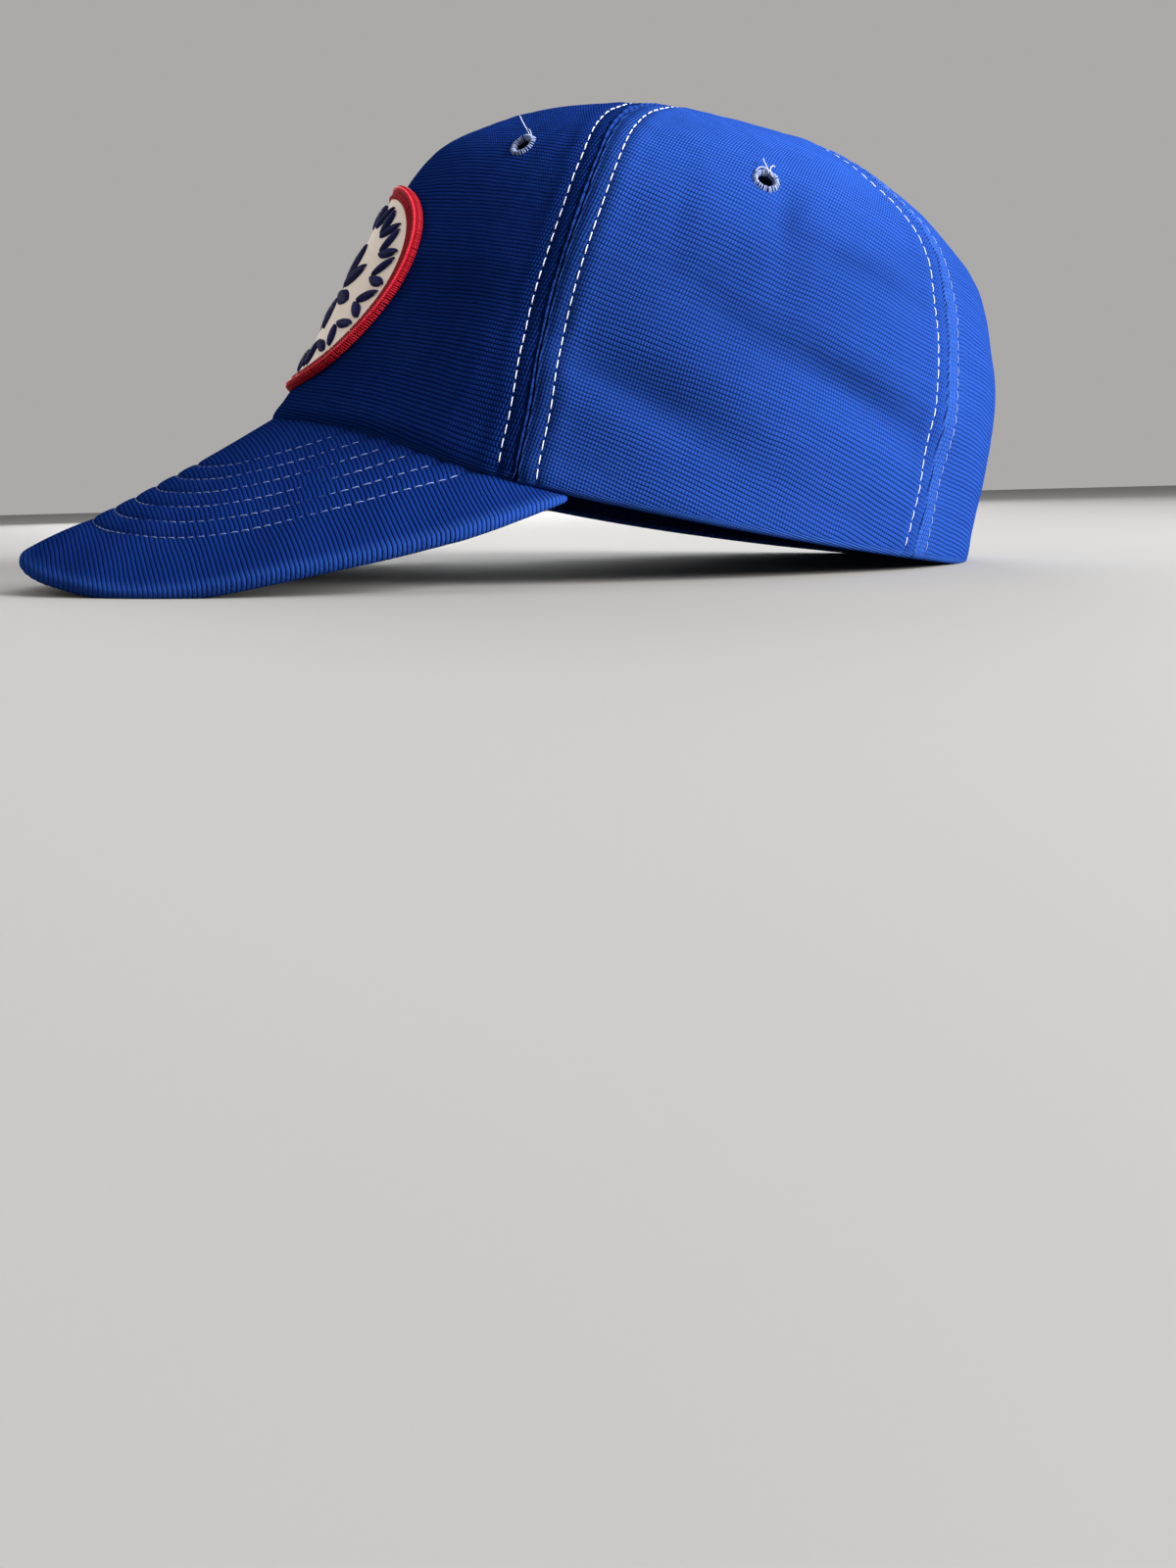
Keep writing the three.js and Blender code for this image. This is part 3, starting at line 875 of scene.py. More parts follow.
# %% Rows of stitches on the visor
VISOR_PITCH, VISOR_LONG, VISOR_LIFT = 3.0, 2.55, 0.16
VISOR_THREAD_RADIUS = 0.9 * THREAD_RADIUS
ROW_POINTS, ROW_DEPTHS = 700, 120
row_across, row_forward = np.linspace(-1, 1, ROW_POINTS), np.linspace(0, 1, ROW_DEPTHS)
row_away = from_edge(visor_top(row_across[None, :], row_forward[:, None]))


def visor_row(distance):
    """The line at one distance from the edge, from one side of the crown to the other."""
    reach = row_away[0] >= distance
    forward = [np.interp(distance, away[::-1], row_forward[::-1]) for away in row_away.T[reach]]
    return row_across[reach], np.array(forward)


above, beneath = [], []
for row in range(ROW_COUNT):
    distance = ROWS_FROM + row * ROW_APART
    across, forward = visor_row(distance)
    normal, face = visor_normal(across, forward), visor_top(across, forward)
    level = quilt(np.array(distance))
    below = face - normal * (VISOR_THICK + UNDER_PUFF * level)
    sewing = (VISOR_PITCH, VISOR_LONG, VISOR_LIFT, THREAD_SINK)
    above.append(stitches_on(face + normal * level, normal, *sewing))
    beneath.append(stitches_on(below, -normal, *sewing))
paths, facings = (np.concatenate(part) for part in zip(*above, *beneath))
visor_stitches = strands("visor_topstitch", paths, facings, VISOR_THREAD_RADIUS)
print("visor stitches:", len(paths))

# %% [markdown]
# ## Eyelets
#
# Each eyelet is a hole whose edge is whipped with thread. The stitches run out from the hole like
# spokes, a little uneven, with the blue cloth showing dark between them, and a tail or two of loose
# thread is left over.

# %% Eyelet threads
SPOKES, SPOKE_POINTS, SPOKE_RADIUS = 30, 8, 0.18
SPOKE_STRAY, SPOKE_LEAN, SPOKE_IN = 0.05, 0.10, 0.25
START_VARIES, END_VARIES = (-0.12, 0.1), (-0.3, 0.2)
SPOKE_HIGH, SPOKE_DIVE, SPOKE_SINK = 0.5, 0.8, 0.35
# eyelet kind, then points of each loose tail: sideways, upward and outward from the eyelet's middle
TAILS = {
    "front": (
        ((0.9, 2.6, 0.3), (0.5, 3.3, 1.0), (-0.3, 4.0, 1.7),
         (-1.0, 4.6, 2.6), (-1.4, 5.0, 3.6), (-1.5, 5.3, 4.7)),
        ((1.6, 2.4, 0.3), (1.5, 3.0, 0.9), (1.0, 3.6, 1.3),
         (0.5, 3.8, 1.4), (0.1, 3.6, 1.3), (-0.2, 3.2, 1.0)),
    ),
    "side": (
        ((1.9, 1.2, 0.2), (1.0, 2.0, 0.9), (0.0, 2.6, 1.1),
         (-1.2, 2.9, 1.1), (-2.2, 2.5, 0.9), (-2.9, 1.6, 0.5)),
        ((0.7, 2.0, 0.4), (0.2, 2.9, 0.9), (-0.4, 3.8, 1.2),
         (-0.9, 4.7, 1.3), (-1.0, 5.4, 1.2), (-0.8, 6.0, 1.1)),
        ((1.4, 1.9, 0.3), (1.0, 2.8, 0.7), (1.1, 3.7, 0.9),
         (1.6, 4.3, 0.9), (2.1, 4.6, 0.7), (2.5, 4.7, 0.4)),
    ),
}
TAIL_POINTS, TAIL_RADIUS, TAIL_TAPER = 26, 0.11, 0.3
TAIL_SHARES = np.linspace(0, 1, 80)


def eyelet_spokes(name, middle, along, upward, outward):
    """The whipping round the hole."""
    angle = np.linspace(0, 2 * np.pi, SPOKES, endpoint=False)
    angle = angle + rng.uniform(-SPOKE_STRAY, SPOKE_STRAY, SPOKES)
    share = np.linspace(0, 1, SPOKE_POINTS)
    inner = EYELET_BORE - SPOKE_IN + rng.uniform(*START_VARIES, SPOKES)
    outer = EYELET_OUTER + rng.uniform(*END_VARIES, SPOKES)
    radius = inner[:, None] + (outer - inner)[:, None] * share ** 1.2
    arch = SPOKE_HIGH * np.sin(np.pi * np.clip(share * 1.12, 0, 1)) ** 0.8
    height = arch - SPOKE_DIVE * (1 - share) ** 5 - SPOKE_SINK * share ** 6
    lean = angle[:, None] + SPOKE_LEAN * share
    spoke = (
        middle
        + (radius * np.cos(lean))[..., None] * along
        + (radius * np.sin(lean))[..., None] * upward
        + height[None, :, None] * outward
    )
    return strands(name + "_thread", spoke, np.broadcast_to(outward, spoke.shape), SPOKE_RADIUS)


def loose_tails(name, middle, axes):
    """The ends of thread left over, for an eyelet of this kind."""
    tails = []
    for tail in TAILS[name.split("_")[1]]:
        line = middle + np.array(tail) @ axes
        places = np.linspace(0, 1, TAIL_POINTS) * along_line(line, 0)[1]
        curve = np.stack([spline(line[:, axis], TAIL_SHARES) for axis in range(3)], axis=-1)
        tails.append(along_line(curve, places)[0])
    facing = np.broadcast_to(axes[2], np.shape(tails))
    return strands(name + "_tail", tails, facing, TAIL_RADIUS, taper=TAIL_TAPER)


def eyelet_threads(name, around_degrees, up):
    middle, along, upward, outward = eyelet_axes(around_degrees, up)
    ring = eyelet_spokes(name, middle, along, upward, outward)
    axes = np.stack([along * np.sign(around_degrees), upward, outward])
    return ring, loose_tails(name, middle, axes)


eyelet_rings, eyelet_tails = {}, []
for name, (_, around_degrees, up) in EYELETS.items():
    eyelet_rings[name], tail = eyelet_threads(name, around_degrees, up)
    eyelet_tails.append(tail)
print("eyelets:", list(eyelet_rings))

# %% [markdown]
# ## Patch
#
# The round patch is a disc of white twill with an overlocked red edge. Its middle carries a plain
# ornament of navy satin stitch: a ring of leaves round a rosette. Flat shapes are laid on the front
# of the crown by measuring up its middle line and across from it.

# %% Lay flat shapes on the front
PATCH_RISE, PATCH_RADIUS, BORDER_WIDTH = 44.9, 31.6, 3.6
PATCH_FACE, FRONT_POINTS = 1.5, 800
front_shares = np.linspace(0, 1, FRONT_POINTS)
front_run = run_of(crown(np.zeros(FRONT_POINTS), front_shares))
quarter_turn = np.linspace(0, np.pi / 2, SWEEP)


def lay_on_front(x, y, height):
    """Points over the crown, and their outward normals."""
    up = np.interp(PATCH_RISE + y, front_run, front_shares)
    runs = run_of(crown(quarter_turn, up.reshape(-1, 1)))
    reached = [np.interp(reach, run, quarter_turn) for reach, run in zip(np.abs(x).ravel(), runs)]
    around = np.sign(x) * np.reshape(reached, x.shape)
    normal = crown_normal(around, up)
    return crown(around, up) + normal * np.asarray(height)[..., None], normal


DISC_RINGS, DISC_SECTORS, INNERMOST = 34, 168, 0.004
UNDER_BORDER, TWILL_BACK = 0.6, 0.35
TWILL_RUN, TWILL_RUN_LONG = 0.10, 17
EDGE_LIFT, LIFT_FROM, LIFT_TO = 0.16, 24, 31


def build_twill():
    radius = (PATCH_RADIUS - BORDER_WIDTH * UNDER_BORDER) * np.linspace(INNERMOST, 1, DISC_RINGS)[:, None]
    angle = np.linspace(0, 2 * np.pi, DISC_SECTORS, endpoint=False)[None, :]
    x, y = radius * np.cos(angle), radius * np.sin(angle)
    pucker = TWILL_RUN * unevenness(x, y, TWILL_RUN_LONG) + EDGE_LIFT * ramp(radius, LIFT_FROM, LIFT_TO)
    face, _ = lay_on_front(x, y, PATCH_FACE + pucker)
    back, _ = lay_on_front(x, y, TWILL_BACK + 0 * x)
    points = np.concatenate([face, back[::-1]])
    rows = 2 * DISC_RINGS
    faces = grid_faces(rows, DISC_SECTORS, close_columns=True).tolist()
    faces.append(range(DISC_SECTORS))
    faces.append(range((rows - 1) * DISC_SECTORS, rows * DISC_SECTORS))
    cloth = np.stack([x, y, 0 * x], axis=-1)
    cloth = np.concatenate([cloth, cloth[::-1]]).reshape(-1, 3)
    return make_piece("patch_twill", points.reshape(-1, 3), faces, cloth=cloth)


twill = build_twill()
print("twill disc", len(twill.data.polygons), "faces")

# %% Satin stitch ornament
# how many leaves, shift of the first in steps, the ring's radius, lean in degrees, length and width
RINGS = (
    (32, 0, 22.4, 24, 7.0, 2.5),
    (8, 0.5, 8.6, 0, 11, 4.2),
)
SATIN_PITCH, SATIN_RADIUS, SATIN_POINTS, SATIN_TAPER = 0.42, 0.27, 7, 0.8
SATIN_SLANT, LEAF_ROUND, LEAF_LEAST = 0.55, 0.75, 0.15
SATIN_OFF, SATIN_LOW, SATIN_SWELL, SATIN_DIVE = 0.12, 0.25, 0.55, 0.25


def satin_leaf(middle_x, middle_y, turned, long, wide):
    """Threads side by side across a leaf shape, each arched over its padding."""
    places = np.arange(-long / 2 + 0.3, long / 2 - 0.2, SATIN_PITCH)
    half = wide / 2 * np.clip(1 - (2 * places / long) ** 2, 0, None) ** LEAF_ROUND + LEAF_LEAST
    share = np.linspace(-1, 1, SATIN_POINTS)
    lengthwise = places[:, None] + SATIN_SLANT * share
    crosswise = half[:, None] * share
    cos, sin = math.cos(turned), math.sin(turned)
    x = middle_x + lengthwise * cos - crosswise * sin
    y = middle_y + lengthwise * sin + crosswise * cos
    swell = SATIN_LOW + SATIN_SWELL * half / (wide / 2)
    arch = swell[:, None] * (1 - share ** 2) - SATIN_DIVE * share ** 8
    height = PATCH_FACE + SATIN_OFF + arch
    return lay_on_front(x, y, height)


satins = []
for count, shift, ring, lean, long, wide in RINGS:
    for leaf in range(count):
        angle = 2 * math.pi * (leaf + shift) / count
        turned = angle + math.radians(lean if leaf % 2 else -lean)
        satins.append(satin_leaf(ring * math.cos(angle), ring * math.sin(angle), turned, long, wide))
threads, facings = (np.concatenate(part) for part in zip(*satins))
ornament = strands("patch_ornament", threads, facings, SATIN_RADIUS, taper=SATIN_TAPER)
print("satin threads:", len(threads))

# %% Overlocked border
WRAPS, WRAP_POINTS, WRAP_RADIUS, WRAP_TAPER = 300, 11, 0.34, 0.9
WRAP_STRAY, WRAP_SLANT, WRAP_OVER = 0.004, 0.034, 0.1
BORDER_PROFILE = (1.45, 1.95, 1.8, 1.75, 1.95, 1.8, 0.4)
KNOT_POINTS, KNOT_RADIUS, KNOT_TAPER = 7, 0.3, 0.6
KNOT_TURN, KNOT_IN, KNOT_ACROSS = 0.0085, 0.95, 0.3
KNOT_HIGH, KNOT_ARCH = 2.0, 0.3
wrap_angles = np.linspace(0, 2 * np.pi, WRAPS, endpoint=False)[:, None]


def build_border():
    share = np.linspace(0, 1, WRAP_POINTS)
    angle = wrap_angles + rng.uniform(-WRAP_STRAY, WRAP_STRAY, (WRAPS, 1)) + WRAP_SLANT * (share - 0.5)
    reach = (BORDER_WIDTH + WRAP_OVER) * (1 - np.cos(np.pi * share)) / 2
    radius = PATCH_RADIUS - BORDER_WIDTH + reach
    x, y = radius * np.cos(angle), radius * np.sin(angle)
    wraps, facings = lay_on_front(x, y, spline(BORDER_PROFILE, share) + 0 * x)
    return strands("patch_overlock", wraps, facings, WRAP_RADIUS, taper=WRAP_TAPER)


def build_knots():
    """The chain of small knots where the overlocking turns over the edge."""
    share = np.linspace(-1, 1, KNOT_POINTS)
    angle = wrap_angles + KNOT_TURN * share
    radius = PATCH_RADIUS - KNOT_IN + KNOT_ACROSS * share[None, :]
    x, y = radius * np.cos(angle), radius * np.sin(angle)
    knots, facings = lay_on_front(x, y, KNOT_HIGH + KNOT_ARCH * (1 - share ** 2) + 0 * x)
    return strands("patch_knots", knots, facings, KNOT_RADIUS, taper=KNOT_TAPER)


border = build_border()
border_knots = build_knots()
print("border wraps:", WRAPS)

# %% [markdown]
# ## Finishes
#
# Four effects are shared, so each is a node group with named sockets: the knit's lattice of loops,
# the twist of a thread, the diagonal of the twill and a slow fading of the dye. The groups only put
# out values. The shader itself, with its sheen, stays in each material.

# %% Node helpers
def add_node(tree, kind, **settings):
    node = tree.nodes.new(kind)
    for key, value in settings.items():
        setattr(node, key, value)
    return node


def feed(tree, socket, value):
    if isinstance(value, bpy.types.NodeSocket):
        tree.links.new(value, socket)
    else:
        socket.default_value = value


def calc(tree, operation, *values, clamp=False):
    node = add_node(tree, "ShaderNodeMath", operation=operation, use_clamp=clamp)
    for socket, value in zip(node.inputs, values):
        feed(tree, socket, value)
    return node.outputs[0]


def blend_values(tree, share, first, second):
    node = add_node(tree, "ShaderNodeMix", data_type="FLOAT")
    for key, value in (("Factor", share), ("A", first), ("B", second)):
        feed(tree, node.inputs[key], value)
    return node.outputs[0]


def blend_colours(tree, share, first, second):
    node = add_node(tree, "ShaderNodeMix", data_type="RGBA")
    for socket, value in ((node.inputs[0], share), (node.inputs[6], first), (node.inputs[7], second)):
        feed(tree, socket, value)
    return node.outputs[2]


def noise(tree, vector, scale, detail=2.0, roughness=0.5):
    node = add_node(tree, "ShaderNodeTexNoise")
    feed(tree, node.inputs["Vector"], vector)
    for key, value in (("Scale", scale), ("Detail", detail), ("Roughness", roughness)):
        node.inputs[key].default_value = value
    return node.outputs["Fac"]


def new_group(name, inputs, outputs):
    """A shader group with named sockets. inputs and outputs map a name to a kind of socket."""
    group = bpy.data.node_groups.new(name, "ShaderNodeTree")
    for socket, kind in inputs.items():
        group.interface.new_socket(name=socket, in_out="INPUT", socket_type="NodeSocket" + kind)
    for socket, kind in outputs.items():
        group.interface.new_socket(name=socket, in_out="OUTPUT", socket_type="NodeSocket" + kind)
    return group, group.nodes.new("NodeGroupInput").outputs, group.nodes.new("NodeGroupOutput").inputs


def use_group(tree, group, **values):
    node = add_node(tree, "ShaderNodeGroup", node_tree=group)
    for key, value in values.items():
        feed(tree, node.inputs[key.replace("_", " ").capitalize()], value)
    return node.outputs


def attribute(tree, name):
    return add_node(tree, "ShaderNodeAttribute", attribute_name=name).outputs


def ridge(tree, position, sharpness):
    """1 on the middle of each unit step and 0 at its ends."""
    part = calc(tree, "FRACT", position)
    off = calc(tree, "ABSOLUTE", calc(tree, "MULTIPLY_ADD", part, 2.0, -1.0))
    return calc(tree, "SUBTRACT", 1.0, calc(tree, "POWER", off, sharpness))


print("node helpers ready")

# %% [markdown]
# The knit has rows of loops that run round the crown, with the loops of each row a little aside from
# the last, so that they line up in slanting files. Close to the seams the cloth is pulled and its
# wales show instead, as fine upright ribs. The third number of the cloth attribute says how strongly.

# %% Knit group
KNIT_INPUTS = {"Cloth": "Vector", "Row pitch": "Float", "Loop pitch": "Float", "Loop share": "Float"}
DRIFT_SCALE, ROW_DRIFT, LOOP_DRIFT, STAGGER = 0.045, 1.4, 1.0, 0.18
ROW_SHARP, LOOP_SHARP, WALE_SHARP, ROWS_ON_RIBS = 3.2, 2.0, 2.2, 0.35
FIBRE_SCALE, FIBRE_DETAIL, FIBRE_HEIGHT, FIBRE_TONE = 3.1, 3.0, 0.22, 0.25
COURSE_TONE = 0.12
knit_group, given, result = new_group("knit loops", KNIT_INPUTS, {"Height": "Float", "Tone": "Float"})
parts = add_node(knit_group, "ShaderNodeSeparateXYZ")
feed(knit_group, parts.inputs[0], given["Cloth"])
cloth_across, cloth_up, pulled = parts.outputs
drift = calc(knit_group, "SUBTRACT", noise(knit_group, given["Cloth"], DRIFT_SCALE), 0.5)
drifted = calc(knit_group, "MULTIPLY_ADD", drift, ROW_DRIFT, cloth_up)
row_place = calc(knit_group, "DIVIDE", drifted, given["Row pitch"])
row_number = calc(knit_group, "FLOOR", row_place)
drifted = calc(knit_group, "MULTIPLY_ADD", drift, LOOP_DRIFT, cloth_across)
loop_place = calc(knit_group, "DIVIDE", drifted, given["Loop pitch"])
staggered = calc(knit_group, "MULTIPLY_ADD", row_number, STAGGER, loop_place)
row_ridge = ridge(knit_group, row_place, ROW_SHARP)
loop_ridge = ridge(knit_group, staggered, LOOP_SHARP)
wale_ridge = ridge(knit_group, staggered, WALE_SHARP)
loops = blend_values(knit_group, given["Loop share"], 1.0, loop_ridge)
looped = calc(knit_group, "MULTIPLY", row_ridge, loops)
ribs = blend_values(knit_group, ROWS_ON_RIBS, 1.0, row_ridge)
ribbed = calc(knit_group, "MULTIPLY", wale_ridge, ribs)
height = blend_values(knit_group, pulled, looped, ribbed)
fibre = noise(knit_group, given["Cloth"], FIBRE_SCALE, FIBRE_DETAIL)
feed(knit_group, result["Height"], calc(knit_group, "MULTIPLY_ADD", fibre, FIBRE_HEIGHT, height))
course = add_node(knit_group, "ShaderNodeTexWhiteNoise", noise_dimensions="1D")
feed(knit_group, course.inputs["W"], row_number)
varied = calc(knit_group, "SUBTRACT", course.outputs["Value"], 0.5)
shaded = calc(knit_group, "MULTIPLY_ADD", varied, COURSE_TONE, height)
feed(knit_group, result["Tone"], calc(knit_group, "MULTIPLY_ADD", fibre, FIBRE_TONE, shaded, clamp=True))
print("knit loops:", len(knit_group.nodes), "nodes")

# %% Fading group
CLOUD_DETAIL, CLOUD_GAIN, CLOUD_FROM = 4.0, 2.0, -0.5
fade_group, given, result = new_group("slow fading", {"Scale": "Float"}, {"Value": "Float"})
clouds = add_node(fade_group, "ShaderNodeTexNoise")
feed(fade_group, clouds.inputs["Vector"], add_node(fade_group, "ShaderNodeTexCoord").outputs["Object"])
feed(fade_group, clouds.inputs["Scale"], given["Scale"])
clouds.inputs["Detail"].default_value = CLOUD_DETAIL
faded = calc(fade_group, "MULTIPLY_ADD", clouds.outputs["Fac"], CLOUD_GAIN, CLOUD_FROM, clamp=True)
feed(fade_group, result["Value"], faded)
print("slow fading:", len(fade_group.nodes), "nodes")

# %% Thread and twill groups
THREAD_INPUTS = {"Strand": "Vector", "Twist pitch": "Float"}
PLY_SHARP, PLY_TONE, SHADE_TONE = 2.0, 0.55, 0.45
thread_group, given, result = new_group("thread twist", THREAD_INPUTS, {"Height": "Float", "Tone": "Float"})
parts = add_node(thread_group, "ShaderNodeSeparateXYZ")
feed(thread_group, parts.inputs[0], given["Strand"])
along_strand, round_strand, own_shade = parts.outputs
run = calc(thread_group, "DIVIDE", along_strand, given["Twist pitch"])
wound = calc(thread_group, "MULTIPLY_ADD", round_strand, 0.5 / math.pi, run)
ply = ridge(thread_group, wound, PLY_SHARP)
own_tone = calc(thread_group, "MULTIPLY", own_shade, SHADE_TONE)
feed(thread_group, result["Height"], ply)
feed(thread_group, result["Tone"], calc(thread_group, "MULTIPLY_ADD", ply, PLY_TONE, own_tone))

TWILL_INPUTS = {"Cloth": "Vector", "Line pitch": "Float"}
LINE_SHARP, WEFT_HEIGHT, WEFT_STEP = 2.0, 0.35, 0.5
twill_group, given, result = new_group("twill lines", TWILL_INPUTS, {"Height": "Float"})
parts = add_node(twill_group, "ShaderNodeSeparateXYZ")
feed(twill_group, parts.inputs[0], given["Cloth"])
slanting = calc(twill_group, "ADD", parts.outputs[0], parts.outputs[1])
diagonal = ridge(twill_group, calc(twill_group, "DIVIDE", slanting, given["Line pitch"]), LINE_SHARP)
weft_pitch = calc(twill_group, "MULTIPLY", given["Line pitch"], WEFT_STEP)
weft = ridge(twill_group, calc(twill_group, "DIVIDE", parts.outputs[1], weft_pitch), LINE_SHARP)
feed(twill_group, result["Height"], calc(twill_group, "MULTIPLY_ADD", weft, WEFT_HEIGHT, diagonal))
print("groups:", [group.name for group in bpy.data.node_groups])

# %% [markdown]
# The knit is darker between the loops, painted shade in its hollows, and lighter on top of them. The
# front panel and the visor are darker copies of the knit, painted shade where they turn from the light.
# The top of the crown is painted lighter, a painted highlight where more light falls. Rubbing and a
# painted sheen pale the folded edges and the back seams, and the folds and the strips beside the front
# seams are darkened with painted shade. The knit has no gloss, which would lie over it like a veil.

# %% Knit materials
# the knit's blue on the loops, and painted shade for the hollows between them
SHADE_BETWEEN_LOOPS, DYE_TOP = (0.0014, 0.006, 0.052, 1), (0.0095, 0.035, 0.178, 1)
RUBBED_AND_SHEEN_BLUE, LINING_BLUE = (0.022, 0.065, 0.26, 1), (0.006, 0.02, 0.1, 1)
RUBBED_SHEEN_SHARE, LINING_SHARE, FOLD_SHADE_FACTOR = 0.9, 0.85, 0.55
# between these heights in m the crown is painted lighter, a painted highlight on its upper part
PAINTED_LIGHT_FROM, PAINTED_LIGHT_TO, PAINTED_LIGHT_GAIN = 0.078, 0.122, 0.8
KNIT_CLOUDS, CLOUD_LOW, CLOUD_HIGH = 14.0, 0.88, 1.08
KNIT_ROUGHNESS, ROUGH_DEEP, ROUGH_TOP, KNIT_BUMP = 0.7, 0.78, 0.55, 0.8
SHEEN_ROUGHNESS = 0.45


def cloth_shader(name, roughness, specular, sheen, tint):
    material = bpy.data.materials.new(name)
    material.use_nodes = True
    tree = material.node_tree
    shader = tree.nodes["Principled BSDF"]
    shader.inputs["Roughness"].default_value = roughness
    shader.inputs["Specular IOR Level"].default_value = specular
    shader.inputs["Sheen Weight"].default_value = sheen
    shader.inputs["Sheen Roughness"].default_value = SHEEN_ROUGHNESS
    shader.inputs["Sheen Tint"].default_value = tint
    return material, tree, shader


def bump(tree, shader, height, strength, depth_mm):
    node = add_node(tree, "ShaderNodeBump")
    node.inputs["Strength"].default_value = strength
    node.inputs["Distance"].default_value = depth_mm * MM
    feed(tree, node.inputs["Height"], height)
    feed(tree, shader.inputs["Normal"], node.outputs["Normal"])


def painted_light_and_shade(tree):
    """Above 1 towards the crown's top, a painted highlight, and below 1 in painted shade."""
    place = add_node(tree, "ShaderNodeSeparateXYZ")
    feed(tree, place.inputs[0], add_node(tree, "ShaderNodeTexCoord").outputs["Object"])
    per_metre = 1 / (PAINTED_LIGHT_TO - PAINTED_LIGHT_FROM)
    # painted highlight: the crown grows lighter towards its top
    upper_share = calc(tree, "MULTIPLY_ADD", place.outputs[2], per_metre, -PAINTED_LIGHT_FROM * per_metre, clamp=True)
    painted_light = calc(tree, "MULTIPLY_ADD", upper_share, PAINTED_LIGHT_GAIN, 1.0)
    # painted shade darkens the folds and the strips beside the front seams
    in_painted_shade = blend_values(tree, attribute(tree, "painted_shade")["Fac"], 1.0, FOLD_SHADE_FACTOR)
    return calc(tree, "MULTIPLY", painted_light, in_painted_shade)


def knit_material(name, cast, deep, row_pitch, loop_pitch, loop_share, depth_mm):
    material, tree, shader = cloth_shader(name, KNIT_ROUGHNESS, 0.0, 0.0, DYE_TOP)
    knit = use_group(
        tree, knit_group, cloth=attribute(tree, "cloth")["Vector"],
        row_pitch=row_pitch, loop_pitch=loop_pitch, loop_share=loop_share,
    )
    clouds = use_group(tree, fade_group, scale=KNIT_CLOUDS)["Value"]
    faded = blend_values(tree, clouds, CLOUD_LOW, CLOUD_HIGH)
    tone = calc(tree, "MULTIPLY", knit["Tone"], faded, clamp=True)
    # painted shade between the loops, deepest on the front panel
    between_loops = (*(deep * value for value in SHADE_BETWEEN_LOOPS[:3]), 1)
    colour = blend_colours(tree, tone, between_loops, DYE_TOP)
    # paler on the loops where rubbed, and where a painted highlight or sheen lies
    on_loops = calc(tree, "MULTIPLY", knit["Tone"], RUBBED_SHEEN_SHARE)
    rubbed = calc(tree, "MULTIPLY", attribute(tree, "rubbed")["Fac"], on_loops)
    colour = blend_colours(tree, rubbed, colour, RUBBED_AND_SHEEN_BLUE)
    lined = calc(tree, "MULTIPLY", attribute(tree, "lining")["Fac"], LINING_SHARE)
    colour = blend_colours(tree, lined, colour, LINING_BLUE)
    dyed = add_node(tree, "ShaderNodeVectorMath", operation="MULTIPLY")
    feed(tree, dyed.inputs[0], colour)
    dyed.inputs[1].default_value = cast
    scaled = add_node(tree, "ShaderNodeVectorMath", operation="SCALE")
    feed(tree, scaled.inputs[0], dyed.outputs[0])
    feed(tree, scaled.inputs["Scale"], painted_light_and_shade(tree))
    feed(tree, shader.inputs["Base Color"], scaled.outputs[0])
    feed(tree, shader.inputs["Roughness"], blend_values(tree, knit["Tone"], ROUGH_DEEP, ROUGH_TOP))
    bump(tree, shader, knit["Height"], KNIT_BUMP, depth_mm)
    return material


# cast of the colour, darker on the front panel and visor as painted shade; share of the painted shade
# between the loops, pitches of rows and loops, share of loops, depth in mm
KNITS = {
    "panel knit": ((1.04, 1.04, 1.06), 0.4, 1.15, 0.86, 0.5, 0.36),
    "front knit with painted shade": ((0.42, 0.48, 0.6), 0.05, 1.15, 0.86, 0.45, 0.5),
    "visor knit with painted shade": ((0.44, 0.54, 0.68), 0.3, 1.22, 0.9, 0.25, 0.42),
}
finishes = {name: knit_material(name, *row) for name, row in KNITS.items()}
print("knits:", list(finishes))

# %% Thread and twill materials
THREAD_SPECULAR, THREAD_BUMP, THREAD_DEPTH = 0.1, 0.6, 0.08
ROUGHER, SMOOTHER = 0.12, 0.05
TWILL_AGED, TWILL_WHITE, TWILL_SHADE = (0.84, 0.74, 0.66, 1), (0.94, 0.88, 0.82, 1), (0.7, 0.6, 0.52, 1)
TWILL_ROUGHNESS, TWILL_SPECULAR, TWILL_SHEEN, TWILL_TINT = 0.8, 0.2, 0.15, (1, 0.97, 0.92, 1)
TWILL_PITCH, TWILL_CLOUDS, LINE_TONE = 0.62, 60.0, 0.5
TWILL_ROUGH_LOW, TWILL_ROUGH_HIGH, TWILL_BUMP, TWILL_DEPTH = 0.88, 0.74, 0.5, 0.12


def thread_material(name, shadow, light, twist_pitch, roughness, sheen):
    material, tree, shader = cloth_shader(name, roughness, THREAD_SPECULAR, sheen, light)
    strand = attribute(tree, "strand")["Vector"]
    twist = use_group(tree, thread_group, strand=strand, twist_pitch=twist_pitch)
    rough = blend_values(tree, twist["Tone"], roughness + ROUGHER, roughness - SMOOTHER)
    feed(tree, shader.inputs["Base Color"], blend_colours(tree, twist["Tone"], shadow, light))
    feed(tree, shader.inputs["Roughness"], rough)
    bump(tree, shader, twist["Height"], THREAD_BUMP, THREAD_DEPTH)
    return material


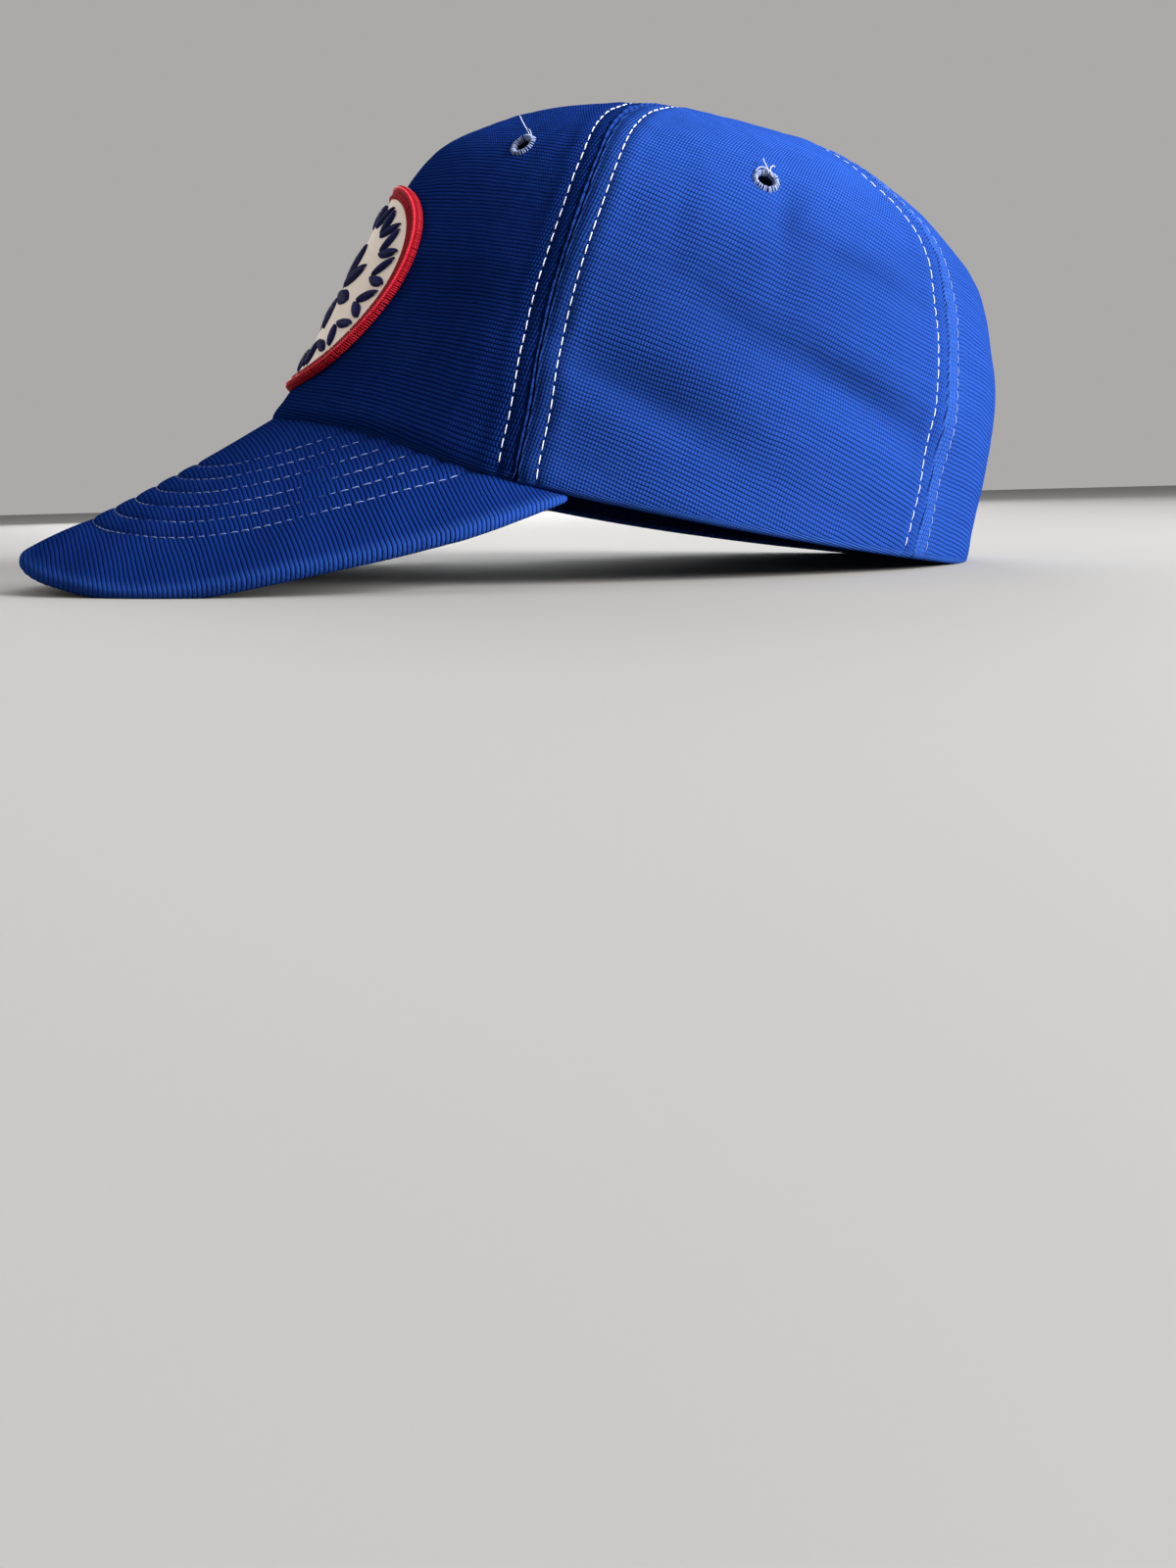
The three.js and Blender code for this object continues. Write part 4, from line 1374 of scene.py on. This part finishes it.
def twill_material(name):
    material, tree, shader = cloth_shader(name, TWILL_ROUGHNESS, TWILL_SPECULAR, TWILL_SHEEN, TWILL_TINT)
    cloth = attribute(tree, "cloth")["Vector"]
    lines = use_group(tree, twill_group, cloth=cloth, line_pitch=TWILL_PITCH)["Height"]
    clouds = use_group(tree, fade_group, scale=TWILL_CLOUDS)["Value"]
    ground = blend_colours(tree, clouds, TWILL_AGED, TWILL_WHITE)
    lit = calc(tree, "MULTIPLY", lines, LINE_TONE)
    feed(tree, shader.inputs["Base Color"], blend_colours(tree, lit, TWILL_SHADE, ground))
    feed(tree, shader.inputs["Roughness"], blend_values(tree, lines, TWILL_ROUGH_LOW, TWILL_ROUGH_HIGH))
    bump(tree, shader, lines, TWILL_BUMP, TWILL_DEPTH)
    return material


# shade and light of the thread, pitch of its twist in mm, roughness and sheen
THREADS = {
    "white sewing thread": ((0.36, 0.39, 0.5, 1), (0.54, 0.57, 0.7, 1), 0.7, 0.5, 0.0),
    "faded sewing thread": ((0.08, 0.13, 0.3, 1), (0.16, 0.22, 0.42, 1), 0.7, 0.6, 0.0),
    "dulled sewing thread": ((0.09, 0.13, 0.28, 1), (0.18, 0.23, 0.42, 1), 0.7, 0.6, 0.0),
    "navy satin thread": ((0.003, 0.004, 0.03, 1), (0.01, 0.013, 0.085, 1), 1.1, 0.5, 0.0),
    # the eyelet whipping is the white thread darkened with painted shade
    "eyelet thread with painted shade": ((0.08, 0.11, 0.24, 1), (0.26, 0.31, 0.48, 1), 0.7, 0.5, 0.05),
    "red border thread": ((0.15, 0.001, 0.006, 1), (0.36, 0.003, 0.014, 1), 1.1, 0.5, 0.0),
    # the knots are the red thread made lighter, painted highlights on the beaded crest
    "red crest thread with painted highlight": ((0.36, 0.004, 0.016, 1), (0.75, 0.03, 0.06, 1), 1.1, 0.35, 0.0),
}
for name, row in THREADS.items():
    finishes[name] = thread_material(name, *row)
finishes["white twill"] = twill_material("white twill")
print("finishes:", list(finishes))

# %% [markdown]
# ## Put the cap together
#
# Every piece rides on the one body and carries its finish, and the solids that it stands for are hidden.

# %% Ride, replace and finish
def dress(piece, finish, slot, *nodes):
    piece.data.materials.clear()
    piece.data.materials.append(finishes[finish])
    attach(piece, "root")
    if nodes:
        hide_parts(*nodes)


for name, panel in panels.items():
    # the front panel takes the darker knit, painted shade
    dress(panel, "front knit with painted shade" if name == "front_panel" else "panel knit", "knit_blue", name)
dress(visor, "visor knit with painted shade", "knit_blue", "visor")
dress(front_stitches, "white sewing thread", "thread_white")
dress(back_stitches, "faded sewing thread", "thread_white")
dress(visor_stitches, "dulled sewing thread", "thread_white")
for name, ring in eyelet_rings.items():
    dress(ring, "eyelet thread with painted shade", "thread_white", name)
for tail in eyelet_tails:
    dress(tail, "white sewing thread", "thread_white")
dress(twill, "white twill", "twill_white", "patch_ground")
dress(ornament, "navy satin thread", "twill_white")
dress(border, "red border thread", "border_red", "patch_border")
dress(border_knots, "red crest thread with painted highlight", "border_red")

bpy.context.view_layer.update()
triangles = sum(len(face.vertices) - 2 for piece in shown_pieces() for face in piece.data.polygons)
print("triangles:", triangles)
